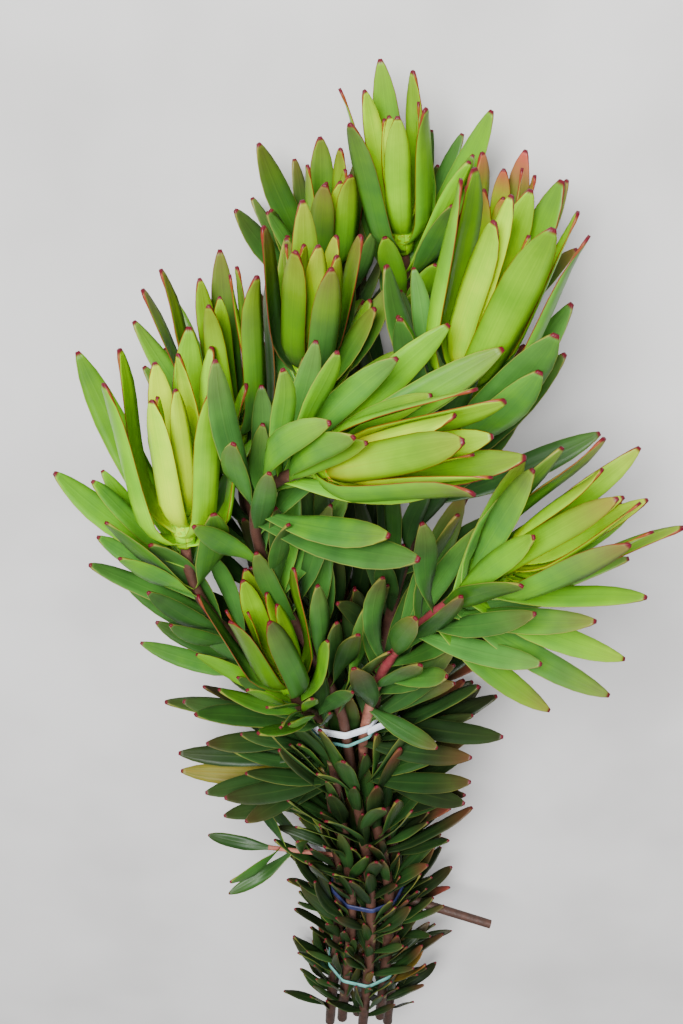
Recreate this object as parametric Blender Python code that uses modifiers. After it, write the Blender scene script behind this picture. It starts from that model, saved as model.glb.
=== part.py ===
"""A tied bunch of ten leafy leucadendron stems, lying on a flat surface.

Metres, +Z up. +Y runs from the cut ends to the heads, +X is to the right as
seen from above with the heads at the top, and the origin lies on the surface,
under the middle of the bunch.

Each shoot is a woody stem with its green leaves, and a head: a small cone in
a cup of pale bracts. Leaves and bracts are thin blades, set round their stem
at the golden angle, and the leaves that shape the bunch's outline are placed
one by one. A blade that would cross another one is turned or tilted until it
is clear, and one that reaches the surface bends and lies flat on it.
"""

import math
import random

import bmesh
import bpy
import numpy as np
from mathutils import Matrix, Vector
from mathutils.bvhtree import BVHTree

# Clear distances
GAP = 0.0003
BLADE_MARGIN = 0.00025

# Points nearer than this are one point
WELD = 0.00001

# Blades
BLADE_THICKNESS = 0.0008
BLADE_STEPS = 24
TWIST_END = 0.7
BRACT_STATIONS = (0, 4, 11, 19, 24)
LEAF_STATIONS = (0, 9, 19, 24)
LEAF_OUTLINE = dict(base=0.32, swell=0.46, taper=0.62, power=2.4)
BRACT_OUTLINE = dict(base=0.66, swell=0.28, taper=0.58, power=2.4)
GOLDEN_ANGLE = math.radians(137.5)
FLOOR_EASE = 0.012
FLOOR_SLOPE = 0.12

# Faces nearer to one plane than this are joined after a union
FLAT_ANGLE = math.radians(0.2)

# Stems
STEM_TOP_RADIUS = 0.0021
STEM_FOOT_RADIUS = 0.0029
STEM_POINTS = 13
STEM_TOP_STEP = 0.002
STEM_CROWDING = 1.25
STEM_SAMPLES = 240

# Cones inside the heads: each profile point is a share of the radius and of the height
CONE_RADIUS = 0.0052
CONE_HEIGHT = 0.017
CONE_SIDES = 7
CONE_PROFILE = ((0.0, 1.0), (0.62, 0.86), (1.0, 0.50), (0.84, 0.16))

# Bracts, as a pair for the innermost and the outermost one of a head. Angles
# are degrees from the way the head points, at places along the bract.
BRACT_ROOT = (0.0115, 0.0022)
BRACT_LENGTH = (0.78, 1.0)
BRACT_WIDTH = (0.0088, 0.0114)
BRACT_SPREAD = (0.62, 1.0)
BRACT_ANGLES = ((0.0, 76), (0.16, 40), (0.34, 7))

# How bracts differ: their length and width as a share of the rule's, their
# angles further out, and the most that they bend and twist
BRACT_LENGTH_VARY = (0.95, 1.04)
BRACT_WIDTH_VARY = (0.94, 1.06)
BRACT_TIP_ANGLES = ((0.70, (1, 6)), (1.0, (-2, 24)))
BRACT_BEND = 8
BRACT_TWIST = 12

# Leaves just below a head, at the tie, and below the tie. "length" is a share
# of the shoot's leaf length, or metres for the low leaves, whose length falls
# towards the cut ends. A leaf leaves its stem at the angle "first" and is at
# "later" further out, in degrees from the stem's direction. On the upper side
# of a stem these angles shrink by the share UP_PRESS, above and below the tie.
# It is turned about its own length by the share LEVEL, above and below the
# tie, of the turn that would make it face the light, which comes from above
# and from beyond the heads.
NEAR_LEAF = dict(length=1.04, first=52, later=20, spacing=0.0032)
FAR_LEAF = dict(length=1.06, first=44, later=20, spacing=0.0146)
LOW_LEAF = dict(length=(0.066, 0.034), first=64, later=(56, 36), spacing=0.0400)
NEAR_REACH = 0.045
LEAF_START = 0.0035
BARE_FOOT = 0.012
LEAF_BEND = 16
LEAF_TWIST = 26
UP_PRESS = (0.6, 0.75)
FACING = Vector((0.0, 0.6, 0.8))
LEVEL = (0.60, 0.25)

# How leaves differ, above and below the tie: their length as a share of the
# rule's, their width as a share of their length, and what is added to their
# angles. Then what is added to the angle at the tip and to the azimuth, and
# the spacing as a share of the rule's.
UPPER_VARY = dict(length=(0.90, 1.08), width=(0.126, 0.148), first=(-8, 8), later=(-15, 15))
LOWER_VARY = dict(length=(0.85, 1.12), width=(0.15, 0.18), first=(-10, 10), later=(-20, 16))
TIP_VARY = (-14, 12)
AZIMUTH_VARY = (-10, 10)
SPACING_VARY = (0.88, 1.12)

# Leaves of the young side shoot: place and angle as a pair for the first and
# the last one, width as a share of the length, and what is added to the angle
# at the root and at the tip
YOUNG_PLACE = (0.96, 0.42)
YOUNG_ANGLE = (24, 62)
YOUNG_WIDTH = 0.18
YOUNG_CURVE = (16, -6)
YOUNG_LENGTH_VARY = (0.85, 1.1)
YOUNG_BEND = 10
YOUNG_TWIST = 20

# Leaves that reach out of the bunch or lie on top of it: stem, place along Y,
# the way they point, and length. Their width grows with their length, and a
# last number broadens it. Their angles are added to the way's own.
OUTER_LEAVES = (
    ("far_right", 0.118, (0.91, -0.40, 0.05), 0.074),
    ("far_right", 0.112, (0.86, -0.46, 0.20), 0.076),
    ("far_right", 0.100, (0.77, -0.61, 0.18), 0.066),
    ("far_right", 0.106, (0.85, 0.31, 0.43), 0.066),
    ("far_right", 0.088, (0.79, 0.24, 0.56), 0.060),
    ("far_right", 0.012, (0.82, -0.11, 0.56), 0.037),
    ("far_right", 0.070, (0.19, 0.98, -0.09), 0.080),
    ("far_right", 0.045, (0.19, 0.98, -0.06), 0.060),
    ("far_right", 0.120, (0.47, 0.88, 0.03), 0.080),
    ("far_right", -0.020, (0.85, 0.27, 0.40), 0.056),
    ("centre", 0.183, (0.79, 0.24, 0.56), 0.085),
    ("centre", 0.158, (0.62, 0.40, 0.68), 0.074),
    ("centre", 0.150, (0.63, 0.37, 0.69), 0.090),
    ("centre", 0.181, (0.89, 0.23, 0.40), 0.060),
    ("centre", 0.184, (0.90, 0.33, 0.29), 0.088),
    ("centre", 0.182, (0.84, 0.54, -0.02), 0.080),
    ("centre", 0.100, (0.51, 0.67, 0.54), 0.052),
    ("right", 0.175, (-0.20, 0.90, 0.40), 0.070),
    ("right", 0.180, (-0.32, 0.90, 0.31), 0.075),
    ("right", 0.172, (0.36, 0.82, 0.45), 0.088, 1.35),
    ("right", 0.165, (0.45, 0.79, 0.42), 0.080, 1.25),
    ("right", 0.160, (0.47, 0.86, 0.19), 0.090),
    ("right", 0.150, (0.50, 0.82, 0.28), 0.080),
    ("right", 0.140, (0.90, 0.44, -0.04), 0.075),
    ("right", 0.080, (-0.11, 0.84, 0.53), 0.050),
    ("right", -0.010, (0.86, 0.26, 0.43), 0.066),
    ("centre_back", 0.180, (0.29, 0.86, 0.41), 0.060),
    ("centre_back", 0.175, (0.56, 0.72, 0.41), 0.060),
    ("top", 0.215, (0.44, 0.89, 0.10), 0.072),
    ("top", 0.210, (0.27, 0.84, 0.47), 0.055),
    ("top", 0.205, (-0.20, 0.83, 0.52), 0.045),
    ("top", 0.200, (0.21, 0.75, 0.63), 0.045),
    ("top", 0.185, (0.05, 0.76, 0.65), 0.050),
    ("back", 0.205, (-0.37, 0.93, 0.05), 0.068),
    ("back", 0.195, (-0.55, 0.81, 0.20), 0.062),
    ("back", 0.190, (0.27, 0.59, 0.76), 0.050),
    ("left", 0.122, (-0.42, 0.85, -0.32), 0.094),
    ("left", 0.110, (0.27, 0.96, 0.05), 0.058, 1.25),
    ("left", 0.085, (-0.28, 0.89, 0.35), 0.066),
    ("left", 0.121, (-0.62, 0.77, 0.16), 0.072),
    ("left", 0.055, (-0.72, 0.69, 0.12), 0.072),
    ("left", -0.010, (-0.92, 0.36, 0.13), 0.064),
    ("left", -0.035, (-0.92, 0.06, 0.05), 0.070),
    ("left", -0.050, (-0.90, 0.06, 0.05), 0.072),
    ("left", -0.042, (-0.89, 0.10, 0.40), 0.062),
    ("left", -0.062, (-0.91, 0.05, 0.38), 0.056),
    ("left_back", -0.030, (-0.80, 0.30, 0.40), 0.062),
    ("left_back", -0.060, (-0.80, 0.10, 0.50), 0.056),
    ("front_left", -0.045, (-0.82, 0.25, 0.42), 0.060),
    ("far_right", -0.050, (0.80, 0.43, 0.42), 0.060),
    ("right", -0.060, (0.72, 0.35, 0.60), 0.054),
)
OUTER_WIDTH = (0.0064, 0.066)
OUTER_ANGLES = ((0.0, 14), (0.3, 2), (1.0, -7))

# The space kept free in front of the tie: across X, and at each height a span along Y
CLEAR_ACROSS = (-0.009, 0.017)
CLEAR_SPANS = ((0.0672, -0.008, 0.006), (0.115, 0.043, 0.055))

# The bundle where it is tied, and at its cut ends
WAIST = Vector((-0.008, -0.005, 0.049))
WAIST_RADIUS = 0.0155
LOW_WAIST = Vector((0.006, -0.153, 0.033))
LOW_WAIST_RADIUS = 0.0165
FOOT = Vector((0.002, -0.286, 0.024))
FOOT_RADIUS = 0.018

# One row for each shoot. "head" is the base of its cup and "aim" the way the
# head points. "turn" is its place round the waist in degrees from +X towards
# +Z, "ring" its share of the waist's radius, and "foot" how much longer its
# stem is than the middle one's. The head has "bracts" bracts of the length
# "bract", spread by the factor "open" and broadened by "wide", and "leaves"
# is its leaves' length.
SHOOTS = {
    "left": dict(
        head=(-0.069, 0.131, 0.098), aim=(0.0, 1.0, 0.0), turn=162, ring=1.0,
        foot=0.004, bracts=8, bract=0.088, open=1.06, wide=1.16, leaves=0.059, seed=11,
    ),
    "left_back": dict(
        head=(-0.049, 0.157, 0.068), aim=(-0.09, 0.99, 0.02), turn=205, ring=1.0,
        foot=-0.006, bracts=8, bract=0.080, open=0.95, wide=0.92, leaves=0.064, seed=12,
    ),
    "centre_back": dict(
        head=(-0.022, 0.191, 0.072), aim=(0.07, 0.98, 0.20), turn=250, ring=0.1,
        foot=0.006, bracts=8, bract=0.070, open=0.85, wide=0.98, leaves=0.060, seed=13,
    ),
    "top": dict(
        head=(0.016, 0.223, 0.030), aim=(-0.10, 0.97, 0.22), turn=285, ring=1.0,
        foot=-0.004, bracts=8, bract=0.076, open=0.85, wide=0.95, leaves=0.056, seed=14,
    ),
    "right": dict(
        head=(0.035, 0.194, 0.088), aim=(0.22, 0.97, 0.06), turn=5, ring=1.0,
        foot=0.010, bracts=9, bract=0.090, open=1.0, wide=1.32, leaves=0.058, seed=15,
    ),
    "right_back": dict(
        head=(0.050, 0.209, 0.034), aim=(0.02, 0.95, 0.30), turn=325, ring=1.0,
        foot=-0.010, bracts=7, bract=0.058, open=0.9, wide=0.85, leaves=0.058, seed=16,
    ),
    "centre": dict(
        head=(-0.019, 0.188, 0.126), aim=(0.80, 0.45, 0.40), turn=84, ring=1.0,
        foot=0.002, bracts=8, bract=0.074, open=0.84, wide=1.18, leaves=0.064, seed=17,
    ),
    "far_right": dict(
        head=(0.046, 0.127, 0.114), aim=(0.66, 0.72, 0.21), turn=45, ring=1.0,
        foot=-0.012, bracts=8, bract=0.080, open=1.0, wide=0.95, leaves=0.068, seed=18,
    ),
    "front_left": dict(
        head=(-0.029, 0.048, 0.094), aim=(-0.24, 0.96, 0.10), turn=123, ring=1.0,
        foot=-0.014, bracts=8, bract=0.070, open=1.1, wide=0.98, leaves=0.050, seed=19,
    ),
    "back": dict(
        head=(-0.013, 0.209, 0.024), aim=(0.04, 0.95, 0.30), turn=246, ring=1.0,
        foot=0.012, bracts=7, bract=0.060, open=0.85, wide=0.92, leaves=0.054, seed=20,
    ),
}

# Ties round all the stems: place along Y, width along Y, and thickness
TIE_SIDES = 8
TIE_CORNER = 0.0006
TIES = {
    "upper_tie": dict(at=-0.004, width=0.0036, thickness=0.0009),
    "upper_band": dict(at=-0.013, width=0.0018, thickness=0.0009),
    "lower_band": dict(at=-0.153, width=0.0030, thickness=0.0011),
    "foot_band": dict(at=-0.227, width=0.0024, thickness=0.0010),
}

# The flat tail of the upper tie, leaving it at an angle from +X towards +Z, and its dark end
TAIL = dict(turn=62, length=0.0125, width=0.0036, thickness=0.0009)
TAIL_END = dict(length=0.0046, width=0.0048, thickness=0.0022)

# A cut side branch, and a young side shoot with its few small leaves
CUT_BRANCH = dict(
    stem="right", y=-0.165, way=(0.93, -0.22, 0.18), length=0.054, radius=0.0026,
    leaves=0, leaf=0.0, seed=30,
)
TWIG_TAPER = 0.94
SIDE_SHOOT = dict(
    stem="left", y=-0.123, way=(-0.86, 0.42, 0.22), length=0.040, radius=0.0013,
    leaves=6, leaf=0.040, seed=31,
)

COLOURS = {
    "tie_tail": (0.780, 0.780, 0.800),
    "leafy_stem": (0.075, 0.190, 0.045),
    "head": (0.330, 0.520, 0.060),
    "upper_tie": (0.780, 0.780, 0.800),
    "tie_end": (0.030, 0.030, 0.035),
    "upper_band": (0.180, 0.520, 0.420),
    "lower_band": (0.030, 0.040, 0.160),
    "foot_band": (0.180, 0.520, 0.420),
}


def clear_scene():
    for old in list(bpy.data.objects):
        bpy.data.objects.remove(old, do_unlink=True)


def make_material(name, colour, roughness):
    material = bpy.data.materials.new(name)
    material.use_nodes = True
    shader = material.node_tree.nodes["Principled BSDF"]
    shader.inputs["Base Color"].default_value = (*colour, 1.0)
    shader.inputs["Roughness"].default_value = roughness
    return material


def mix(a, b, share):
    return a + (b - a) * share


def smooth(value):
    """0 to 1 with level ends, held outside that range."""
    value = min(1.0, max(0.0, value))
    return value * value * (3.0 - 2.0 * value)


def blend_keys(u, keys):
    """The value at u on a smooth line through (place, value) pairs."""
    for (left, low), (right, high) in zip(keys, keys[1:]):
        if u <= right:
            return mix(low, high, smooth((u - left) / (right - left)))
    return keys[-1][1]


# Stems

def ring_place(centre, radius, turn):
    angle = math.radians(turn)
    return centre + Vector((radius * math.cos(angle), 0.0, radius * math.sin(angle)))


def hermite(a, b, tangent_a, tangent_b, t):
    """Point and direction on a cubic between two points."""
    t2 = t * t
    t3 = t2 * t
    point = a * (2 * t3 - 3 * t2 + 1) + tangent_a * (t3 - 2 * t2 + t)
    point += b * (3 * t2 - 2 * t3) + tangent_b * (t3 - t2)
    slope = a * (6 * t2 - 6 * t) + tangent_a * (3 * t2 - 4 * t + 1)
    slope += b * (6 * t - 6 * t2) + tangent_b * (3 * t2 - 2 * t)
    return point, slope.normalized()


def stem_line(shoot):
    """Evenly spaced points and directions from the head's base down to the foot."""
    head = Vector(shoot["head"])
    aim = Vector(shoot["aim"]).normalized()
    waist = ring_place(WAIST, WAIST_RADIUS * shoot["ring"], shoot["turn"])
    low = ring_place(LOW_WAIST, LOW_WAIST_RADIUS * shoot["ring"], shoot["turn"])
    foot = ring_place(FOOT, FOOT_RADIUS * shoot["ring"], shoot["turn"])
    foot.y -= shoot["foot"]
    knots = [head, waist, low, foot]
    spans = [(b - a).length for a, b in zip(knots, knots[1:])]
    slopes = [-aim]
    for i in (1, 2):
        slopes.append((knots[i + 1] - knots[i - 1]) / (spans[i] + spans[i - 1]))
    slopes.append((foot - low) / spans[2])
    points, ways = [], []
    for i, span in enumerate(spans):
        count = STEM_SAMPLES // 3
        for k in range(count + (i == 2)):
            point, way = hermite(
                knots[i], knots[i + 1], slopes[i] * span, slopes[i + 1] * span, k / count
            )
            points.append(point)
            ways.append(-way)
    return points, ways


class Stem:
    """A stem's centre line, measured from the head's base down, and its tube's joints."""

    def __init__(self, shoot):
        self.points, self.ways = stem_line(shoot)
        self.marks = [0.0]
        for a, b in zip(self.points, self.points[1:]):
            self.marks.append(self.marks[-1] + (b - a).length)
        self.length = self.marks[-1]
        self.joint_marks = stem_marks(self.length)
        self.joints = [self.at(mark)[0] for mark in self.joint_marks]

    def at(self, distance):
        """Point and upward direction on the smooth line, at a distance below the head."""
        i, share = span_share(self.marks, distance)
        point = mix(self.points[i], self.points[i + 1], share)
        way = mix(self.ways[i], self.ways[i + 1], share).normalized()
        return point, way

    def radius(self, distance):
        return mix(STEM_TOP_RADIUS, STEM_FOOT_RADIUS, smooth(distance / self.length))

    def axis(self, distance):
        """Point on the tube's own axis, which runs straight from joint to joint."""
        i, share = span_share(self.joint_marks, distance)
        return mix(self.joints[i], self.joints[i + 1], share)

    def crossing(self, y):
        """Point and reach of the tube where it passes a plane of constant Y."""
        for i, (a, b) in enumerate(zip(self.joints, self.joints[1:])):
            if (a.y - y) * (b.y - y) <= 0.0 and a.y != b.y:
                share = (a.y - y) / (a.y - b.y)
                mark = mix(self.joint_marks[i], self.joint_marks[i + 1], share)
                slant = abs((b - a).normalized().y)
                return mix(a, b, share), self.radius(mark) / slant
        return None


def span_share(marks, distance):
    """Which span of increasing marks a distance falls in, and how far along it."""
    distance = min(max(distance, marks[0]), marks[-1])
    i = min(int(np.searchsorted(marks, distance, side="right")) - 1, len(marks) - 2)
    return i, (distance - marks[i]) / (marks[i + 1] - marks[i])


def stem_marks(length):
    """Distances along a stem, closer together near the head, where it bends."""
    rest = length - STEM_TOP_STEP
    steps = STEM_POINTS - 2
    marks = [STEM_TOP_STEP + rest * (k / steps) ** STEM_CROWDING for k in range(steps + 1)]
    return [0.0] + marks


def tube(name, points, radii, sides=6):
    """A closed tube along points, as a mesh object."""
    curve = bpy.data.curves.new(name, "CURVE")
    curve.dimensions = "3D"
    curve.bevel_depth = 1.0
    curve.bevel_resolution = (sides - 4) // 2
    curve.use_fill_caps = True
    spline = curve.splines.new("POLY")
    spline.points.add(len(points) - 1)
    for place, point, radius in zip(spline.points, points, radii):
        place.co = (*point, 1.0)
        place.radius = radius
    carrier = bpy.data.objects.new(name, curve)
    bpy.context.scene.collection.objects.link(carrier)
    graph = bpy.context.evaluated_depsgraph_get()
    mesh = bpy.data.meshes.new_from_object(carrier.evaluated_get(graph))
    bpy.data.objects.remove(carrier, do_unlink=True)
    bpy.data.curves.remove(curve)
    shape = bmesh.new()
    shape.from_mesh(mesh)
    bmesh.ops.remove_doubles(shape, verts=shape.verts, dist=WELD)
    bmesh.ops.recalc_face_normals(shape, faces=shape.faces)
    shape.to_mesh(mesh)
    shape.free()
    return bpy.data.objects.new(name, mesh)


# Blades

def outline_share(u, outline):
    """Half-width share at u: a narrower base, then nearly even sides and a blunt point."""
    share = mix(outline["base"], 1.0, smooth(u / outline["swell"]))
    if u <= outline["taper"]:
        return share
    along = (u - outline["taper"]) / (1.0 - outline["taper"])
    return share * math.sqrt(max(0.0, 1.0 - along ** outline["power"]))


def keep_above(way, height, low, step):
    """Bends a direction so that the next step stays above the surface."""
    limit = -((height - low) / FLOOR_EASE + FLOOR_SLOPE)
    limit = max(limit, (low - height) / step)
    if way.z >= limit:
        return way
    limit = min(limit, 0.99)
    flat = Vector((way.x, way.y, 0.0))
    flat.length = math.sqrt(1.0 - limit * limit)
    return Vector((flat.x, flat.y, limit))


def level_width(way, width, height, half_width, low):
    """Turns a blade's width towards level as far as the surface below asks for."""
    flat = Vector((-way.y, way.x, 0.0)).normalized()
    steep = way.cross(flat)
    across, up = width.dot(flat), width.dot(steep)
    most = max(0.0, (height - low) / max(half_width, 1e-6)) / max(abs(steep.z), 1e-6)
    if abs(up) > most:
        across = math.copysign(math.sqrt(max(0.0, 1.0 - most * most)), across)
        up = math.copysign(most, up)
    return (flat * across + steep * up).normalized()


def blade_line(root, along, out, blade):
    """Centre points, width and normal directions of a blade from root to tip."""
    length = blade["length"]
    step = length / BLADE_STEPS
    low = BLADE_THICKNESS / 2
    tangent = along.cross(out)
    place = root.copy()
    rows = []
    for i in range(BLADE_STEPS + 1):
        u = i / BLADE_STEPS
        angle = blend_keys(u, blade["angles"])
        way = along * math.cos(angle) + out * math.sin(angle)
        normal = along * math.sin(angle) - out * math.cos(angle)
        bend = blade["bend"] * u
        way, width = (
            way * math.cos(bend) + tangent * math.sin(bend),
            tangent * math.cos(bend) - way * math.sin(bend),
        )
        twist = blade["twist"] * smooth(u / TWIST_END)
        width = width * math.cos(twist) + normal * math.sin(twist)
        way = keep_above(way, place.z, low, step)
        width = (width - way * width.dot(way)).normalized()
        half_width = blade["width"] / 2 * outline_share(u, blade["outline"])
        width = level_width(way, width, place.z, half_width, low)
        rows.append((place.copy(), width, way.cross(width), half_width))
        place = place + way * step
    return rows


def blade_shape(rows, stations, extra=0.0, first=0):
    """Points and triangles of a blade: a thin plate with split faces alike on both sides."""
    half = BLADE_THICKNESS / 2 + extra
    points, faces = [], []
    for i in stations[first:-1]:
        place, _, _, half_width = rows[i]
        # The stalk has the section of its outer end all along, so its faces are flat.
        _, width, normal, _ = rows[max(i, stations[1])]
        side = width * (half_width + extra)
        lift = normal * half
        points += [place - side + lift, place + side + lift, place + side - lift, place - side - lift]
    place, width, normal, _ = rows[stations[-1]]
    points += [place + normal * half, place - normal * half]
    last = len(points) - 6
    faces += [(0, 1, 2), (0, 2, 3)]
    for a in range(0, last, 4):
        b = a + 4
        faces += [(a, b, b + 1), (a, b + 1, a + 1)]
        faces += [(a + 3, b + 2, b + 3), (a + 3, a + 2, b + 2)]
        faces += [(a + 1, b + 1, b + 2), (a + 1, b + 2, a + 2)]
        faces += [(a, a + 3, b + 3), (a, b + 3, b)]
    top, under = last + 4, last + 5
    faces += [(last, top, last + 1), (last + 3, last + 2, under)]
    faces += [(last + 1, top, under), (last + 1, under, last + 2)]
    faces += [(last, last + 3, under), (last, under, top)]
    return points, faces


class Thicket:
    """All that has been placed, asked whether the next blade is clear of it."""

    def __init__(self):
        self.items = []

    def add(self, node, points, faces, outer=None):
        tree = BVHTree.FromPolygons(points, faces)
        outer_tree = BVHTree.FromPolygons(*outer) if outer else None
        self.items.append((node, bounds(points), tree, outer_tree))

    def is_clear(self, node, points, faces, outer):
        low, high = bounds(points)
        tree = BVHTree.FromPolygons(points, faces)
        outer_tree = BVHTree.FromPolygons(*outer)
        for other, (other_low, other_high), other_tree, other_outer in self.items:
            if any(low[k] > other_high[k] or high[k] < other_low[k] for k in range(3)):
                continue
            if other != node:
                if tree.overlap(other_tree):
                    return False
            elif other_outer and outer_tree.overlap(other_outer):
                return False
        return True


def bounds(points):
    low = [min(point[k] for point in points) for k in range(3)]
    high = [max(point[k] for point in points) for k in range(3)]
    return low, high


AZIMUTH_TRIES = (0, 14, -14, 28, -28, 42, -42, 60, -60, 80, -80, 105, -105, 135, -135, 170)
TILT_TRIES = (0, 0, 0, 6, -6, 8, -8, 10, 10, -10, -10, 14, 14, -12, -12, 0)


def facing_turn(along, out, lean):
    """The turn about its own length, at most a quarter, that shows a blade's face to the light."""
    across = along.cross(out)
    normal = along * math.sin(lean) - out * math.cos(lean)
    turn = math.atan2(-across.dot(FACING), normal.dot(FACING))
    if abs(turn) > math.pi / 2:
        turn -= math.copysign(math.pi, turn)
    return turn


def place_blade(thicket, node, root, along, azimuth, blade, stations):
    """Adds a blade round a stem, turned and tilted until it is clear. None if it never is."""
    flat = along.orthogonal().normalized()
    for turn, tilt in zip(AZIMUTH_TRIES, TILT_TRIES):
        out = flat.copy()
        out.rotate(Matrix.Rotation(azimuth + math.radians(turn), 3, along))
        pressed = 1.0 - blade.get("press", 0.0) * max(0.0, out.z)
        tilted = dict(blade)
        tilted["angles"] = [(u, a * pressed + math.radians(tilt) * u) for u, a in blade["angles"]]
        lean = blend_keys(0.5, tilted["angles"])
        tilted["twist"] += blade.get("level", 0.0) * facing_turn(along, out, lean)
        rows = blade_line(root, along, out, tilted)
        wide = blade_shape(rows, stations, BLADE_MARGIN)
        outer = blade_shape(rows, stations, BLADE_MARGIN / 2, first=1)
        if thicket.is_clear(node, *wide, outer):
            thicket.add(node, *wide, outer=outer)
            return rows
    return None


# Growth

def head_bracts(shoot):
    """Yields root, direction, azimuth and blade for a head's bracts, inner ones first."""
    rng = random.Random(shoot["seed"])
    base = Vector(shoot["head"])
    along = Vector(shoot["aim"]).normalized()
    count = shoot["bracts"]
    start = rng.uniform(0.0, math.tau)
    for i in range(count):
        share = i / (count - 1)
        spread = shoot["open"] * mix(*BRACT_SPREAD, share)
        root = base + along * mix(*BRACT_ROOT, share)
        length = shoot["bract"] * mix(*BRACT_LENGTH, smooth(share * 1.6))
        width = shoot["wide"] * mix(*BRACT_WIDTH, smooth(share * 1.5))
        blade = dict(
            length=length * rng.uniform(*BRACT_LENGTH_VARY),
            width=width * rng.uniform(*BRACT_WIDTH_VARY),
            outline=BRACT_OUTLINE,
            angles=[
                *((place, math.radians(angle) * spread) for place, angle in BRACT_ANGLES),
                *(
                    (place, math.radians(rng.uniform(*span)) * spread)
                    for place, span in BRACT_TIP_ANGLES
                ),
            ],
            bend=math.radians(rng.uniform(-BRACT_BEND, BRACT_BEND)),
            twist=math.radians(rng.uniform(-BRACT_TWIST, BRACT_TWIST)),
        )
        yield root, along, start + i * GOLDEN_ANGLE, blade


def stem_leaves(shoot, stem):
    """Yields distance, azimuth and blade for a stem's leaves, from the head down."""
    rng = random.Random(shoot["seed"] + 100)
    start = rng.uniform(0.0, math.tau)
    distance = LEAF_START
    tie_distance = next(m for m, p in zip(stem.marks, stem.points) if p.y < WAIST.y)
    i = 0
    while distance < stem.length - BARE_FOOT:
        below = (distance - tie_distance) / (stem.length - tie_distance)
        near = smooth(1.0 - distance / NEAR_REACH)
        if below < 0:
            kind = {key: mix(FAR_LEAF[key], NEAR_LEAF[key], near) for key in FAR_LEAF}
            vary = UPPER_VARY
            length = shoot["leaves"] * kind["length"]
            later = kind["later"]
        else:
            kind = LOW_LEAF
            vary = LOWER_VARY
            length = mix(*kind["length"], smooth(below * 1.2))
            later = mix(*kind["later"], smooth(below * 1.4))
        length *= rng.uniform(*vary["length"])
        width = length * rng.uniform(*vary["width"])
        first = kind["first"] + rng.uniform(*vary["first"])
        later += rng.uniform(*vary["later"])
        blade = dict(
            length=length,
            width=width,
            outline=LEAF_OUTLINE,
            angles=[
                (0.0, math.radians(first)),
                (0.25, math.radians(mix(first, later, 0.6))),
                (0.6, math.radians(later)),
                (1.0, math.radians(later + rng.uniform(*TIP_VARY))),
            ],
            bend=math.radians(rng.uniform(-LEAF_BEND, LEAF_BEND)),
            press=UP_PRESS[0] if below < 0 else UP_PRESS[1],
            level=LEVEL[0] if below < 0 else LEVEL[1],
            twist=math.radians(rng.uniform(-LEAF_TWIST, LEAF_TWIST)),
        )
        azimuth = start + i * GOLDEN_ANGLE + math.radians(rng.uniform(*AZIMUTH_VARY))
        yield distance, azimuth, blade
        distance += kind["spacing"] * rng.uniform(*SPACING_VARY)
        i += 1


def outer_leaf(stem, y, way, length, wide=1.0):
    """Root, direction, azimuth and blade of a leaf that points a given way."""
    distance = next(m for m, p in zip(stem.marks, stem.points) if p.y < y)
    along = stem.at(distance)[1]
    way = Vector(way).normalized()
    flat = along.orthogonal().normalized()
    out = (way - along * way.dot(along)).normalized()
    lean = way.angle(along)
    blade = dict(
        length=length,
        width=wide * (OUTER_WIDTH[0] + OUTER_WIDTH[1] * length),
        outline=LEAF_OUTLINE,
        angles=[(u, lean + math.radians(angle)) for u, angle in OUTER_ANGLES],
        bend=0.0,
        twist=0.0,
        level=LEVEL[0],
    )
    azimuth = math.atan2(along.dot(flat.cross(out)), flat.dot(out))
    return stem.axis(distance), along, azimuth, blade


def side_leaves(branch, root, way):
    """Yields root, azimuth and blade for the leaves at the end of the young side shoot."""
    rng = random.Random(branch["seed"])
    count = branch["leaves"]
    for i in range(count):
        share = i / (count - 1)
        place = root + way * branch["length"] * mix(*YOUNG_PLACE, share)
        angle = mix(*YOUNG_ANGLE, share)
        blade = dict(
            length=branch["leaf"] * rng.uniform(*YOUNG_LENGTH_VARY),
            width=branch["leaf"] * YOUNG_WIDTH,
            outline=LEAF_OUTLINE,
            angles=[(u, math.radians(angle + YOUNG_CURVE[u])) for u in (0, 1)],
            bend=math.radians(rng.uniform(-YOUNG_BEND, YOUNG_BEND)),
            twist=math.radians(rng.uniform(-YOUNG_TWIST, YOUNG_TWIST)),
            level=LEVEL[0],
        )
        yield place, i * GOLDEN_ANGLE, blade


# Solids

def mesh_object(name, points, faces):
    mesh = bpy.data.meshes.new(name)
    mesh.from_pydata([tuple(point) for point in points], [], faces)
    return bpy.data.objects.new(name, mesh)


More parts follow.
